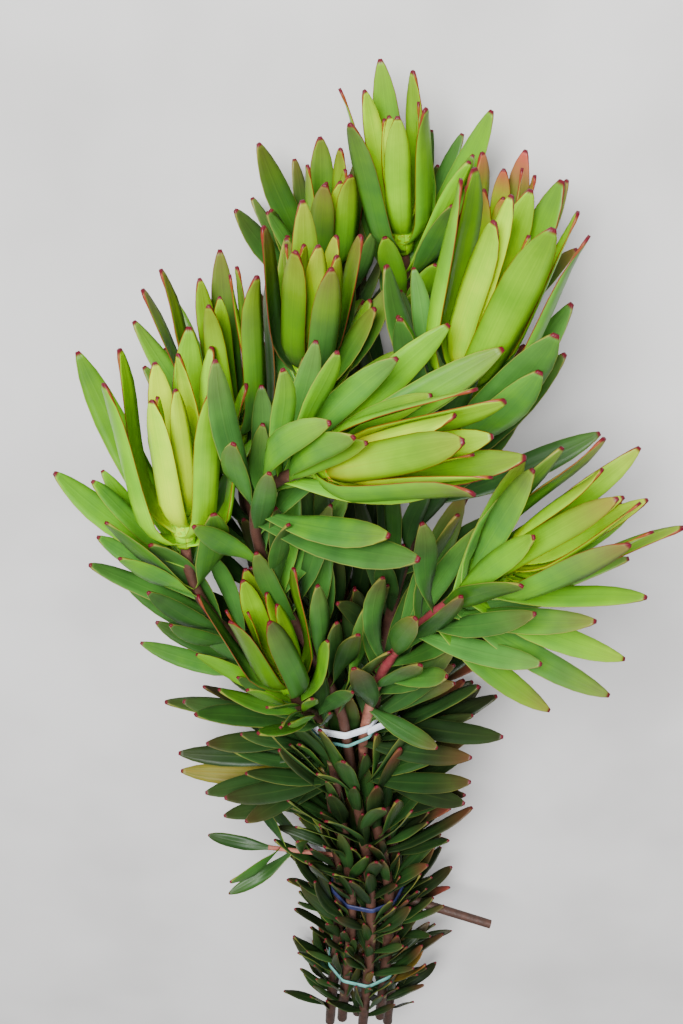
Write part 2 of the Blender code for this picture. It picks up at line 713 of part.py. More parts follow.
def cone_object(name, base, along):
    """A head's cone on its receptacle: a turned profile, stood on the head's base."""
    profile = [(across * CONE_RADIUS, up * CONE_HEIGHT) for across, up in CONE_PROFILE]
    profile += [(STEM_TOP_RADIUS, GAP), (0.0, GAP)]
    mesh = bpy.data.meshes.new(name)
    edges = [(i, i + 1) for i in range(len(profile) - 1)]
    mesh.from_pydata([(radius, 0.0, height) for radius, height in profile], edges, [])
    carrier = bpy.data.objects.new(name, mesh)
    bpy.context.scene.collection.objects.link(carrier)
    screw = carrier.modifiers.new("turn", "SCREW")
    screw.steps = CONE_SIDES
    screw.render_steps = CONE_SIDES
    screw.use_merge_vertices = True
    screw.merge_threshold = WELD
    graph = bpy.context.evaluated_depsgraph_get()
    turned = bpy.data.meshes.new_from_object(carrier.evaluated_get(graph))
    bpy.data.objects.remove(carrier, do_unlink=True)
    turned.transform(Matrix.Translation(base) @ along.to_track_quat("Z", "Y").to_matrix().to_4x4())
    shape = bmesh.new()
    shape.from_mesh(turned)
    bmesh.ops.remove_doubles(shape, verts=shape.verts, dist=WELD)
    bmesh.ops.recalc_face_normals(shape, faces=shape.faces)
    shape.to_mesh(turned)
    shape.free()
    return bpy.data.objects.new(name, turned)


def fuse(base, pieces):
    """Joins closed pieces to a closed base in one union, and removes the pieces."""
    group = bpy.data.collections.new("to_fuse")
    bpy.context.scene.collection.children.link(group)
    for piece in pieces:
        group.objects.link(piece)
    union = base.modifiers.new("fuse", "BOOLEAN")
    union.operation = "UNION"
    union.solver = "MANIFOLD"
    union.operand_type = "COLLECTION"
    union.collection = group
    graph = bpy.context.evaluated_depsgraph_get()
    fused = bpy.data.meshes.new_from_object(base.evaluated_get(graph))
    base.modifiers.clear()
    shape = bmesh.new()
    shape.from_mesh(fused)
    bmesh.ops.dissolve_limit(shape, angle_limit=FLAT_ANGLE, verts=shape.verts, edges=shape.edges)
    shape.to_mesh(fused)
    shape.free()
    base.data = fused
    for piece in pieces:
        bpy.data.objects.remove(piece, do_unlink=True)
    bpy.data.collections.remove(group)


def hull(points):
    """Convex outline of flat points, anticlockwise."""
    points = sorted(set(points))

    def half(ordered):
        line = []
        for p in ordered:
            while len(line) > 1:
                (ax, ay), (bx, by) = line[-2], line[-1]
                if (bx - ax) * (p[1] - ay) - (by - ay) * (p[0] - ax) > 1e-10:
                    break
                line.pop()
            line.append(p)
        return line[:-1]

    return half(points) + half(points[::-1])


def tie_outline(stems, tie):
    """The line that a tie takes round the stems that it holds, as X and Z."""
    reach = 1.0 / math.cos(math.pi / TIE_SIDES)
    around = []
    for stem in stems:
        for y in (tie["at"] - tie["width"] / 2, tie["at"] + tie["width"] / 2):
            point, radius = stem.crossing(y)
            grown = (radius + GAP) * reach
            for k in range(TIE_SIDES):
                turn = math.tau * k / TIE_SIDES
                around.append((point.x + grown * math.cos(turn), point.z + grown * math.sin(turn)))
    outline = hull(around)
    kept = [outline[0]]
    for p in outline[1:]:
        if min(math.dist(p, kept[-1]), math.dist(p, outline[0])) > TIE_CORNER:
            kept.append(p)
    return kept


def tie_object(name, outline, tie):
    """A flat tie: its line swept across its width, thickened outwards."""
    half = tie["width"] / 2
    count = len(outline)
    points = [(x, tie["at"] - half, z) for x, z in outline]
    points += [(x, tie["at"] + half, z) for x, z in outline]
    faces = [(i, i + count, (i + 1) % count + count, (i + 1) % count) for i in range(count)]
    band = mesh_object(name, points, faces)
    wall = band.modifiers.new("wall", "SOLIDIFY")
    wall.thickness = tie["thickness"]
    wall.offset = 1.0
    wall.use_even_offset = True
    return band


def plate(name, centre, along, up, length, width, thickness):
    """A flat bar with its length along one direction and its thickness along another."""
    mesh = bpy.data.meshes.new(name)
    shape = bmesh.new()
    bmesh.ops.create_cube(shape, size=1.0)
    across = up.cross(along)
    turn = Matrix((along, across, up)).transposed().to_4x4()
    size = Matrix.Diagonal((length, width, thickness, 1.0))
    bmesh.ops.transform(shape, matrix=Matrix.Translation(centre) @ turn @ size, verts=shape.verts)
    shape.to_mesh(mesh)
    shape.free()
    return bpy.data.objects.new(name, mesh)


def tail_objects(outline, tie):
    """The tie's flat tail and its dark end, leaving the ring along its outer face."""
    angle = math.radians(TAIL["turn"])
    out = Vector((math.cos(angle), 0.0, math.sin(angle)))
    along = Vector((math.sin(angle), 0.0, -math.cos(angle)))
    x, z = max(outline, key=lambda p: p[0] * out.x + p[1] * out.z)
    top = tie["thickness"] + GAP + TAIL["thickness"] / 2
    start = Vector((x, tie["at"], z)) + out * top - along * TAIL["width"] / 2
    middle = start + along * TAIL["length"] / 2
    size = (TAIL["length"], TAIL["width"], TAIL["thickness"])
    tail = plate("tie_tail", middle, along, out, *size)
    beyond = start + along * (TAIL["length"] + GAP + TAIL_END["length"] / 2)
    return tail, plate("tie_end", beyond, along, out, **TAIL_END)


def mesh_of(obj):
    """Points and faces of a mesh object, leaving out its modifiers."""
    points = [v.co.copy() for v in obj.data.vertices]
    faces = [tuple(p.vertices) for p in obj.data.polygons]
    return points, faces


def triangles(obj):
    graph = bpy.context.evaluated_depsgraph_get()
    mesh = obj.evaluated_get(graph).to_mesh()
    mesh.calc_loop_triangles()
    return len(mesh.loop_triangles)


def plain_mesh(obj):
    """Points and faces of an object, as its modifiers leave it."""
    graph = bpy.context.evaluated_depsgraph_get()
    mesh = obj.evaluated_get(graph).to_mesh()
    points = [v.co.copy() for v in mesh.vertices]
    faces = [tuple(p.vertices) for p in mesh.polygons]
    obj.evaluated_get(graph).to_mesh_clear()
    return points, faces


def give_origin(obj, point, parent):
    """Sets an object's origin without moving its mesh, and parents it."""
    obj.data.transform(Matrix.Translation(-point))
    obj.location = point
    obj.parent = parent


def finish_node(obj, colour, origin, holder, roughness=0.5):
    obj.data.materials.clear()
    obj.data.materials.append(make_material(obj.name, COLOURS[colour], roughness))
    give_origin(obj, origin, holder)


# The bunch, piece by piece

def add_stem_tubes(thicket, stems):
    """Each stem's bare tube, which its leaves are joined to later."""
    bodies = {}
    for name, stem in stems.items():
        radii = [stem.radius(mark) for mark in stem.joint_marks]
        bodies[name] = tube("leafy_stem_" + name, stem.joints, radii)
        wide = tube("wide", stem.joints, [radius + BLADE_MARGIN for radius in radii])
        thicket.add("leafy_stem_" + name, *mesh_of(wide))
        bpy.data.objects.remove(wide, do_unlink=True)
    return bodies


def add_cones(thicket):
    cones = {}
    for name, shoot in SHOOTS.items():
        aim = Vector(shoot["aim"]).normalized()
        cones[name] = cone_object("head_" + name, Vector(shoot["head"]), aim)
        thicket.add("head_" + name, *mesh_of(cones[name]))
    return cones


def add_ties(thicket, stems, bunch, holder):
    for name, tie in TIES.items():
        outline = tie_outline(stems.values(), tie)
        band = tie_object(name, outline, tie)
        pieces = [band]
        if name == "upper_tie":
            pieces += tail_objects(outline, tie)
        for piece in pieces:
            bunch.objects.link(piece)
            thicket.add(piece.name, *plain_mesh(piece))
            finish_node(piece, piece.name, Vector((WAIST.x, tie["at"], WAIST.z)), holder, 0.4)


def add_heads(thicket, cones, bunch, holder):
    for name, cone in cones.items():
        bracts = []
        for root, along, azimuth, blade in head_bracts(SHOOTS[name]):
            rows = place_blade(thicket, cone.name, root, along, azimuth, blade, BRACT_STATIONS)
            if rows:
                bracts.append(mesh_object("bract", *blade_shape(rows, BRACT_STATIONS)))
        bunch.objects.link(cone)
        fuse(cone, bracts)
        finish_node(cone, "head", Vector(SHOOTS[name]["head"]), holder)
        print(cone.name, len(bracts), "bracts", triangles(cone), "triangles")


def add_side_branches(thicket, stems, grown):
    for branch in (CUT_BRANCH, SIDE_SHOOT):
        name = branch["stem"]
        node = "leafy_stem_" + name
        root = stems[name].crossing(branch["y"])[0]
        way = Vector(branch["way"]).normalized()
        radius = branch["radius"]
        twig = tube("twig", [root, root + way * branch["length"]], [radius, radius * TWIG_TAPER])
        thicket.add(node, *mesh_of(twig))
        grown[name].append(twig)
        for place, azimuth, blade in side_leaves(branch, root, way):
            rows = place_blade(thicket, node, place, way, azimuth, blade, LEAF_STATIONS)
            if rows:
                grown[name].append(mesh_object("leaf", *blade_shape(rows, LEAF_STATIONS)))


def add_outer_leaves(thicket, stems, grown):
    for name, *growth in OUTER_LEAVES:
        root, along, azimuth, blade = outer_leaf(stems[name], *growth)
        node = "leafy_stem_" + name
        rows = place_blade(thicket, node, root, along, azimuth, blade, LEAF_STATIONS)
        if rows:
            grown[name].append(mesh_object("leaf", *blade_shape(rows, LEAF_STATIONS)))


def add_clear_space(thicket):
    """Keeps later leaves out of the slanted space in front of the tie."""
    points = [
        Vector((x, y, z)) for z, near, far in CLEAR_SPANS for y in (near, far) for x in CLEAR_ACROSS
    ]
    faces = [(0, 2, 3, 1), (4, 5, 7, 6), (0, 1, 5, 4), (2, 6, 7, 3), (0, 4, 6, 2), (1, 3, 7, 5)]
    thicket.add("clear space", points, faces)


def add_leaves(thicket, stems, grown):
    """The stems take turns, each leaf a little lower than the one before it."""
    plans = {name: list(stem_leaves(SHOOTS[name], stem)) for name, stem in stems.items()}
    for i in range(max(len(plan) for plan in plans.values())):
        for name, plan in plans.items():
            if i >= len(plan):
                continue
            distance, azimuth, blade = plan[i]
            root = stems[name].axis(distance)
            along = stems[name].at(distance)[1]
            node = "leafy_stem_" + name
            rows = place_blade(thicket, node, root, along, azimuth, blade, LEAF_STATIONS)
            if rows:
                grown[name].append(mesh_object("leaf", *blade_shape(rows, LEAF_STATIONS)))


def main():
    clear_scene()
    bunch = bpy.data.collections.new("leucadendron_bunch")
    bpy.context.scene.collection.children.link(bunch)
    holder = bpy.data.objects.new("bunch_origin", None)
    bunch.objects.link(holder)

    thicket = Thicket()
    stems = {name: Stem(shoot) for name, shoot in SHOOTS.items()}
    bodies = add_stem_tubes(thicket, stems)
    cones = add_cones(thicket)
    add_ties(thicket, stems, bunch, holder)
    add_heads(thicket, cones, bunch, holder)
    grown = {name: [] for name in SHOOTS}
    add_side_branches(thicket, stems, grown)
    add_outer_leaves(thicket, stems, grown)
    add_clear_space(thicket)
    add_leaves(thicket, stems, grown)
    for name, body in bodies.items():
        bunch.objects.link(body)
        pieces = len(grown[name])
        fuse(body, grown[name])
        finish_node(body, "leafy_stem", stems[name].crossing(WAIST.y)[0], holder)
        print(body.name, pieces, "leaves and twigs", triangles(body), "triangles")
    solids = [obj for obj in bunch.objects if obj.type == "MESH"]
    print(len(solids), "nodes,", sum(triangles(obj) for obj in solids), "triangles")


main()
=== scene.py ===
# %% [markdown]
# # A tied bunch of leucadendron stems
#
# Ten cut stems lie on a pale floor, held together by flat ties. Each stem is
# woody and leafy, and ends in a head: a small cone in a cup of pale bracts.
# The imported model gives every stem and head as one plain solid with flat
# blades. Here each of them gets finer leaves, in the same places, and more of
# them in between.

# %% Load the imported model
import math
import random

import bmesh
import bpy
import numpy as np
from mathutils import Matrix, Vector
from mathutils.bvhtree import BVHTree


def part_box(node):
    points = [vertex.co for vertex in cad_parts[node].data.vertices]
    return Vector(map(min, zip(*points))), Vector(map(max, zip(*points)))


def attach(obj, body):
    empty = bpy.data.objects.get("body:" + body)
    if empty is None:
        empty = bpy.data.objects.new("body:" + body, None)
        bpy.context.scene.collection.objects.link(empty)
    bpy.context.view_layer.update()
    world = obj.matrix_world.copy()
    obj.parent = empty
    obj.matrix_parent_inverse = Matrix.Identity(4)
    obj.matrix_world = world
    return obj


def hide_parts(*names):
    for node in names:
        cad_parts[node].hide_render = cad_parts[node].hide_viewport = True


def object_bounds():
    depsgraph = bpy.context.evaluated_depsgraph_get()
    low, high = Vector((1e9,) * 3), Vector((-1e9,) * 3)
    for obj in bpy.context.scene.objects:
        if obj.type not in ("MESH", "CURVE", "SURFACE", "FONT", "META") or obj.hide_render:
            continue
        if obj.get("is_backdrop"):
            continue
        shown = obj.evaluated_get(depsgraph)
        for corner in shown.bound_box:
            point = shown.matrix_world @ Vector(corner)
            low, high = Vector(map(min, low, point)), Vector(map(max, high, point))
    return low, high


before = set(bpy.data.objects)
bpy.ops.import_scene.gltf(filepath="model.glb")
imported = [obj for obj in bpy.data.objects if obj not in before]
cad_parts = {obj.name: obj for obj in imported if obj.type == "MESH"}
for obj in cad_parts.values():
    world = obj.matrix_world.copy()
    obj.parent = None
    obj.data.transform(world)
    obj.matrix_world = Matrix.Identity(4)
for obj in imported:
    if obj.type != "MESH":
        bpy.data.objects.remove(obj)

cad_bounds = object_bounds()
print("packed model spans", [[round(x, 3) for x in corner] for corner in cad_bounds], "m")


def select_only(*chosen):
    """An operator acts on all that is selected, so this comes before each of them."""
    for obj in bpy.context.selected_objects:
        obj.select_set(False)
    for obj in chosen:
        obj.select_set(True)
    bpy.context.view_layer.objects.active = chosen[0] if chosen else None


select_only()

# %% [markdown]
# ## Camera
#
# The bunch lies down, so the camera looks down on it from the heads' side. It
# is tipped by 37 degrees from straight down, which shows the nearer heads
# larger than the cut ends. It could be aimed by a constraint, but three
# directions written down are easier to read and never drift.

# %% Camera
CAMERA_TIP = math.radians(37)
CAMERA_PLACE = Vector((-0.0082, 0.476, 0.5329))
LENS_MM, SENSOR_MM = 50.0, 36.0

right = Vector((1.0, 0.0, 0.0))
up = Vector((0.0, math.cos(CAMERA_TIP), -math.sin(CAMERA_TIP)))
back = Vector((0.0, math.sin(CAMERA_TIP), math.cos(CAMERA_TIP)))
camera_data = bpy.data.cameras.new("camera")
camera_data.lens = LENS_MM
camera_data.sensor_width = SENSOR_MM
camera = bpy.data.objects.new("camera", camera_data)
bpy.context.scene.collection.objects.link(camera)
turned = Matrix((right, up, back)).transposed().to_4x4()
camera.matrix_world = Matrix.Translation(CAMERA_PLACE) @ turned
bpy.context.scene.camera = camera
print("camera", round((CAMERA_PLACE - cad_bounds[1]).length, 3), "m from the far corner of the bunch")

# %% [markdown]
# ## Light
#
# Soft light keeps the shadows between the leaves open. One large panel stands
# beyond the heads and high up, so that it grazes the blades and shows their
# sheen, a weaker one fills in from the other side, and a plain pale world
# lights the rest.

# %% Light
def add_panel(name, place, target, size, power):
    data = bpy.data.lights.new(name, "AREA")
    data.shape = "DISK"
    data.size = size
    data.energy = power
    panel = bpy.data.objects.new(name, data)
    bpy.context.scene.collection.objects.link(panel)
    panel.location = place
    panel.rotation_euler = (Vector(target) - Vector(place)).to_track_quat("-Z", "Y").to_euler()
    return panel


HEADS = (0.0, 0.16, 0.08)
add_panel("key_panel", (-0.35, 1.15, 1.35), HEADS, size=0.8, power=90.0)
add_panel("fill_panel", (0.9, -0.5, 1.3), HEADS, size=1.2, power=12.0)
world = bpy.data.worlds.new("pale_room")
world.use_nodes = True
background = world.node_tree.nodes["Background"]
background.inputs["Color"].default_value = (0.92, 0.95, 1.0, 1.0)
background.inputs["Strength"].default_value = 0.4
bpy.context.scene.world = world

# %% [markdown]
# ## The plan of the bunch
#
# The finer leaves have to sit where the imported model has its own, so this
# plan repeats its driving sizes: one row for each shoot, the ties, and the
# two small branches. "head" is the base of a cup and "aim" the way the head
# points. "turn" is the stem's place round the waist in degrees from +X
# towards +Z, "ring" its share of the waist's radius, and "foot" how much
# longer the stem is than the middle one. "wide" is how broad its bracts are
# beside the usual ones.

# %% Shoots
SHOOT_KEYS = ("head", "aim", "turn", "ring", "foot", "bracts", "bract", "open", "wide", "leaves")
SHOOT_ROWS = {
    "left": ((-0.069, 0.131, 0.098), (0.0, 1.0, 0.0), 162, 1.0, 0.004, 8, 0.088, 1.06, 1.16, 0.059),
    "left_back": (
        (-0.049, 0.157, 0.068), (-0.09, 0.99, 0.02), 205, 1.0, -0.006, 8, 0.080, 0.95, 0.92, 0.064,
    ),
    "centre_back": (
        (-0.022, 0.191, 0.072), (0.07, 0.98, 0.20), 250, 0.1, 0.006, 8, 0.070, 0.85, 0.98, 0.060,
    ),
    "top": ((0.016, 0.223, 0.030), (-0.10, 0.97, 0.22), 285, 1.0, -0.004, 8, 0.076, 0.85, 0.95, 0.056),
    "right": ((0.035, 0.194, 0.088), (0.22, 0.97, 0.06), 5, 1.0, 0.010, 9, 0.090, 1.0, 1.32, 0.058),
    "right_back": (
        (0.050, 0.209, 0.034), (0.02, 0.95, 0.30), 325, 1.0, -0.010, 7, 0.058, 0.9, 0.85, 0.058,
    ),
    "centre": ((-0.019, 0.188, 0.126), (0.80, 0.45, 0.40), 84, 1.0, 0.002, 8, 0.074, 0.84, 1.18, 0.064),
    "far_right": (
        (0.046, 0.127, 0.114), (0.66, 0.72, 0.21), 45, 1.0, -0.012, 8, 0.080, 1.0, 0.95, 0.068,
    ),
    "front_left": (
        (-0.029, 0.048, 0.094), (-0.24, 0.96, 0.10), 123, 1.0, -0.014, 8, 0.070, 1.1, 0.98, 0.050,
    ),
    "back": ((-0.013, 0.209, 0.024), (0.04, 0.95, 0.30), 246, 1.0, 0.012, 7, 0.060, 0.85, 0.92, 0.054),
}
FIRST_SEED = 11
SHOOTS = {
    name: dict(zip(SHOOT_KEYS, row), seed=FIRST_SEED + i)
    for i, (name, row) in enumerate(SHOOT_ROWS.items())
}
print(len(SHOOTS), "shoots")

# %% Bundle, stems and cones
WAIST = Vector((-0.008, -0.005, 0.049))
WAIST_RADIUS = 0.0155
LOW_WAIST = Vector((0.006, -0.153, 0.033))
LOW_WAIST_RADIUS = 0.0165
FOOT = Vector((0.002, -0.286, 0.024))
FOOT_RADIUS = 0.018

STEM_TOP_RADIUS = 0.0021
STEM_FOOT_RADIUS = 0.0029
STEM_POINTS = 13
STEM_TOP_STEP = 0.002
STEM_CROWDING = 1.25
STEM_SAMPLES = 240
BARK_RIPPLE = 0.0001

CONE_RADIUS = 0.0052
CONE_HEIGHT = 0.017
CONE_SIDES = 7
CONE_PROFILE = ((0.0, 1.0), (0.62, 0.86), (1.0, 0.50), (0.84, 0.16))

# %% Ties and side branches
GAP = 0.0003
TIE_SIDES = 8
TIE_CORNER = 0.0006
TIES = {
    "upper_tie": dict(at=-0.004, width=0.0036, thickness=0.0009),
    "upper_band": dict(at=-0.013, width=0.0018, thickness=0.0009),
    "lower_band": dict(at=-0.153, width=0.0030, thickness=0.0011),
    "foot_band": dict(at=-0.227, width=0.0024, thickness=0.0010),
}
TAIL = dict(turn=62, length=0.0125, width=0.0036, thickness=0.0009)
TAIL_END = dict(length=0.0046, width=0.0048, thickness=0.0022)

CUT_BRANCH = dict(
    stem="right", y=-0.165, way=(0.93, -0.22, 0.18), length=0.054, radius=0.0026,
    leaves=0, leaf=0.0, seed=30,
)
TWIG_TAPER = 0.94
SIDE_SHOOT = dict(
    stem="left", y=-0.123, way=(-0.86, 0.42, 0.22), length=0.040, radius=0.0013,
    leaves=6, leaf=0.040, seed=31,
)

# %% [markdown]
# ## Sizes of leaves and bracts
#
# Leaves and bracts are blades: thin plates that leave their stem at one angle
# and turn to another further out. The pairs below are ranges or ends of a
# range. They could stand inside the functions, but here a range can be
# changed without reading the rule that uses it.

# %% Sizes and angles of blades
BLADE_MARGIN = 0.00025
BLADE_THICKNESS = 0.0008
BLADE_STEPS = 24
TWIST_END = 0.7
BRACT_STATIONS = (0, 4, 11, 19, 24)
LEAF_STATIONS = (0, 9, 19, 24)
LEAF_OUTLINE = dict(base=0.32, swell=0.46, taper=0.62, power=2.4)
BRACT_OUTLINE = dict(base=0.66, swell=0.28, taper=0.58, power=2.4)
GOLDEN_ANGLE = math.radians(137.5)
FLOOR_EASE = 0.012
FLOOR_SLOPE = 0.12

# Bracts, as a pair for the innermost and the outermost one, with angles in degrees from the aim
BRACT_ROOT = (0.0115, 0.0022)
BRACT_LENGTH = (0.78, 1.0)
BRACT_WIDTH = (0.0088, 0.0114)
BRACT_SPREAD = (0.62, 1.0)
BRACT_ANGLES = ((0.0, 76), (0.16, 40), (0.34, 7))
BRACT_LENGTH_VARY = (0.95, 1.04)
BRACT_WIDTH_VARY = (0.94, 1.06)
BRACT_TIP_ANGLES = ((0.70, (1, 6)), (1.0, (-2, 24)))
BRACT_BEND = 8
BRACT_TWIST = 12

# Leaves below a head, at the tie and below it. On a stem's upper side their angles shrink by
# UP_PRESS, and each turns by the share LEVEL towards FACING, where the light comes from.
NEAR_LEAF = dict(length=1.04, first=52, later=20, spacing=0.0032)
FAR_LEAF = dict(length=1.06, first=44, later=20, spacing=0.0146)
LOW_LEAF = dict(length=(0.066, 0.034), first=64, later=(56, 36), spacing=0.0400)
NEAR_REACH = 0.045
LEAF_START = 0.0035
BARE_FOOT = 0.012
LEAF_BEND = 16
LEAF_TWIST = 26
UP_PRESS = (0.6, 0.75)
FACING = Vector((0.0, 0.6, 0.8))
LEVEL = (0.60, 0.25)

# How leaves differ, above and below the tie, then at the tip, round the stem and in spacing
UPPER_VARY = dict(length=(0.90, 1.08), width=(0.126, 0.148), first=(-8, 8), later=(-15, 15))
LOWER_VARY = dict(length=(0.85, 1.12), width=(0.15, 0.18), first=(-10, 10), later=(-20, 16))
TIP_VARY = (-14, 12)
AZIMUTH_VARY = (-10, 10)
SPACING_VARY = (0.88, 1.12)

# Leaves of the young side shoot, a pair for the first and the last one, or for root and tip
YOUNG_PLACE = (0.96, 0.42)
YOUNG_ANGLE = (24, 62)
YOUNG_WIDTH = 0.18
YOUNG_CURVE = (16, -6)
YOUNG_LENGTH_VARY = (0.85, 1.1)
YOUNG_BEND = 10
YOUNG_TWIST = 20

# %% Leaves placed one by one
# Leaves that reach out of the bunch or lie on top, stem by stem: place along Y, the way they
# point, and length. A fourth number broadens a leaf.
OUTER_LEAVES = (
    ("far_right", (
        (0.118, (0.91, -0.40, 0.05), 0.074), (0.112, (0.86, -0.46, 0.20), 0.076),
        (0.100, (0.77, -0.61, 0.18), 0.066), (0.106, (0.85, 0.31, 0.43), 0.066),
        (0.088, (0.79, 0.24, 0.56), 0.060), (0.012, (0.82, -0.11, 0.56), 0.037),
        (0.070, (0.19, 0.98, -0.09), 0.080), (0.045, (0.19, 0.98, -0.06), 0.060),
        (0.120, (0.47, 0.88, 0.03), 0.080), (-0.020, (0.85, 0.27, 0.40), 0.056),
    )),
    ("centre", (
        (0.183, (0.79, 0.24, 0.56), 0.085), (0.158, (0.62, 0.40, 0.68), 0.074),
        (0.150, (0.63, 0.37, 0.69), 0.090), (0.181, (0.89, 0.23, 0.40), 0.060),
        (0.184, (0.90, 0.33, 0.29), 0.088), (0.182, (0.84, 0.54, -0.02), 0.080),
        (0.100, (0.51, 0.67, 0.54), 0.052),
    )),
    ("right", (
        (0.175, (-0.20, 0.90, 0.40), 0.070), (0.180, (-0.32, 0.90, 0.31), 0.075),
        (0.172, (0.36, 0.82, 0.45), 0.088, 1.35), (0.165, (0.45, 0.79, 0.42), 0.080, 1.25),
        (0.160, (0.47, 0.86, 0.19), 0.090), (0.150, (0.50, 0.82, 0.28), 0.080),
        (0.140, (0.90, 0.44, -0.04), 0.075), (0.080, (-0.11, 0.84, 0.53), 0.050),
        (-0.010, (0.86, 0.26, 0.43), 0.066),
    )),
    ("centre_back", (
        (0.180, (0.29, 0.86, 0.41), 0.060), (0.175, (0.56, 0.72, 0.41), 0.060),
    )),
    ("top", (
        (0.215, (0.44, 0.89, 0.10), 0.072), (0.210, (0.27, 0.84, 0.47), 0.055),
        (0.205, (-0.20, 0.83, 0.52), 0.045), (0.200, (0.21, 0.75, 0.63), 0.045),
        (0.185, (0.05, 0.76, 0.65), 0.050),
    )),
    ("back", (
        (0.205, (-0.37, 0.93, 0.05), 0.068), (0.195, (-0.55, 0.81, 0.20), 0.062),
        (0.190, (0.27, 0.59, 0.76), 0.050),
    )),
    ("left", (
        (0.122, (-0.42, 0.85, -0.32), 0.094), (0.110, (0.27, 0.96, 0.05), 0.058, 1.25),
        (0.085, (-0.28, 0.89, 0.35), 0.066), (0.121, (-0.62, 0.77, 0.16), 0.072),
        (0.055, (-0.72, 0.69, 0.12), 0.072), (-0.010, (-0.92, 0.36, 0.13), 0.064),
        (-0.035, (-0.92, 0.06, 0.05), 0.070), (-0.050, (-0.90, 0.06, 0.05), 0.072),
        (-0.042, (-0.89, 0.10, 0.40), 0.062), (-0.062, (-0.91, 0.05, 0.38), 0.056),
    )),
    ("left_back", (
        (-0.030, (-0.80, 0.30, 0.40), 0.062), (-0.060, (-0.80, 0.10, 0.50), 0.056),
    )),
    ("front_left", ((-0.045, (-0.82, 0.25, 0.42), 0.060),)),
    ("far_right", ((-0.050, (0.80, 0.43, 0.42), 0.060),)),
    ("right", ((-0.060, (0.72, 0.35, 0.60), 0.054),)),
)
OUTER_WIDTH = (0.0064, 0.066)
OUTER_ANGLES = ((0.0, 14), (0.3, 2), (1.0, -7))

# The space kept free in front of the tie: across X, and at each height a span along Y
CLEAR_ACROSS = (-0.009, 0.017)
CLEAR_SPANS = ((0.0672, -0.008, 0.006), (0.115, 0.043, 0.055))

# %% [markdown]
# ## Stems as lines
#
# A shoot runs from its head through the waist, where the tie gathers all of
# them, and on to the cut end. A smooth cubic through four points gives that
# line. It could be drawn by hand as a Bezier curve, but leaves have to be set
# along it at known distances, so it is measured here.

# %% Easing
def mix(a, b, share):
    return a + (b - a) * share


def smooth(value):
    """0 to 1 with level ends, held outside that range."""
    value = min(1.0, max(0.0, value))
    return value * value * (3.0 - 2.0 * value)


def blend_keys(u, keys):
    """The value at u on a smooth line through (place, value) pairs."""
    for (left, low), (right, high) in zip(keys, keys[1:]):
        if u <= right:
            return mix(low, high, smooth((u - left) / (right - left)))
    return keys[-1][1]


def new_blade(rng, outline, length, width, keys, bend, twist, spread=1.0, **facts):
    """A blade's numbers. Its keys are (place, degrees) pairs, opened by a share, and it is bent
    and twisted by up to so many degrees either way."""
    return dict(
        outline=outline,
        length=length,
        width=width,
        angles=[(u, math.radians(angle) * spread) for u, angle in keys],
        bend=math.radians(rng.uniform(-bend, bend)),
        twist=math.radians(rng.uniform(-twist, twist)),
        **facts,
    )


def head_place(shoot):
    """Where a head's base is, and the way it points."""
    return Vector(shoot["head"]), Vector(shoot["aim"]).normalized()


# %% Stem lines
def ring_place(centre, radius, turn):
    angle = math.radians(turn)
    return centre + Vector((radius * math.cos(angle), 0.0, radius * math.sin(angle)))


def hermite(a, b, tangent_a, tangent_b, t):
    """Point and direction on a cubic between two points."""
    t2 = t * t
    t3 = t2 * t
    point = a * (2 * t3 - 3 * t2 + 1) + tangent_a * (t3 - 2 * t2 + t)
    point += b * (3 * t2 - 2 * t3) + tangent_b * (t3 - t2)
    slope = a * (6 * t2 - 6 * t) + tangent_a * (3 * t2 - 4 * t + 1)
    slope += b * (6 * t - 6 * t2) + tangent_b * (3 * t2 - 2 * t)
    return point, slope.normalized()


def stem_line(shoot):
    """Evenly spaced points and directions from the head's base down to the foot."""
    head, aim = head_place(shoot)
    waist = ring_place(WAIST, WAIST_RADIUS * shoot["ring"], shoot["turn"])
    low = ring_place(LOW_WAIST, LOW_WAIST_RADIUS * shoot["ring"], shoot["turn"])
    foot = ring_place(FOOT, FOOT_RADIUS * shoot["ring"], shoot["turn"])
    foot.y -= shoot["foot"]
    knots = [head, waist, low, foot]
    spans = [(b - a).length for a, b in zip(knots, knots[1:])]
    slopes = [-aim]
    for i in (1, 2):
        slopes.append((knots[i + 1] - knots[i - 1]) / (spans[i] + spans[i - 1]))
    slopes.append((foot - low) / spans[2])
    points, ways = [], []
    for i, span in enumerate(spans):
        count = STEM_SAMPLES // 3
        for k in range(count + (i == 2)):
            point, way = hermite(
                knots[i], knots[i + 1], slopes[i] * span, slopes[i + 1] * span, k / count
            )
            points.append(point)
            ways.append(-way)
    return points, ways


def span_share(marks, distance):
    """Which span of increasing marks a distance falls in, and how far along it."""
    distance = min(max(distance, marks[0]), marks[-1])
    i = min(int(np.searchsorted(marks, distance, side="right")) - 1, len(marks) - 2)
    return i, (distance - marks[i]) / (marks[i + 1] - marks[i])


def stem_marks(length):
    """Distances along a stem, closer together near the head, where it bends."""
    rest = length - STEM_TOP_STEP
    steps = STEM_POINTS - 2
    return [0.0] + [STEM_TOP_STEP + rest * (k / steps) ** STEM_CROWDING for k in range(steps + 1)]


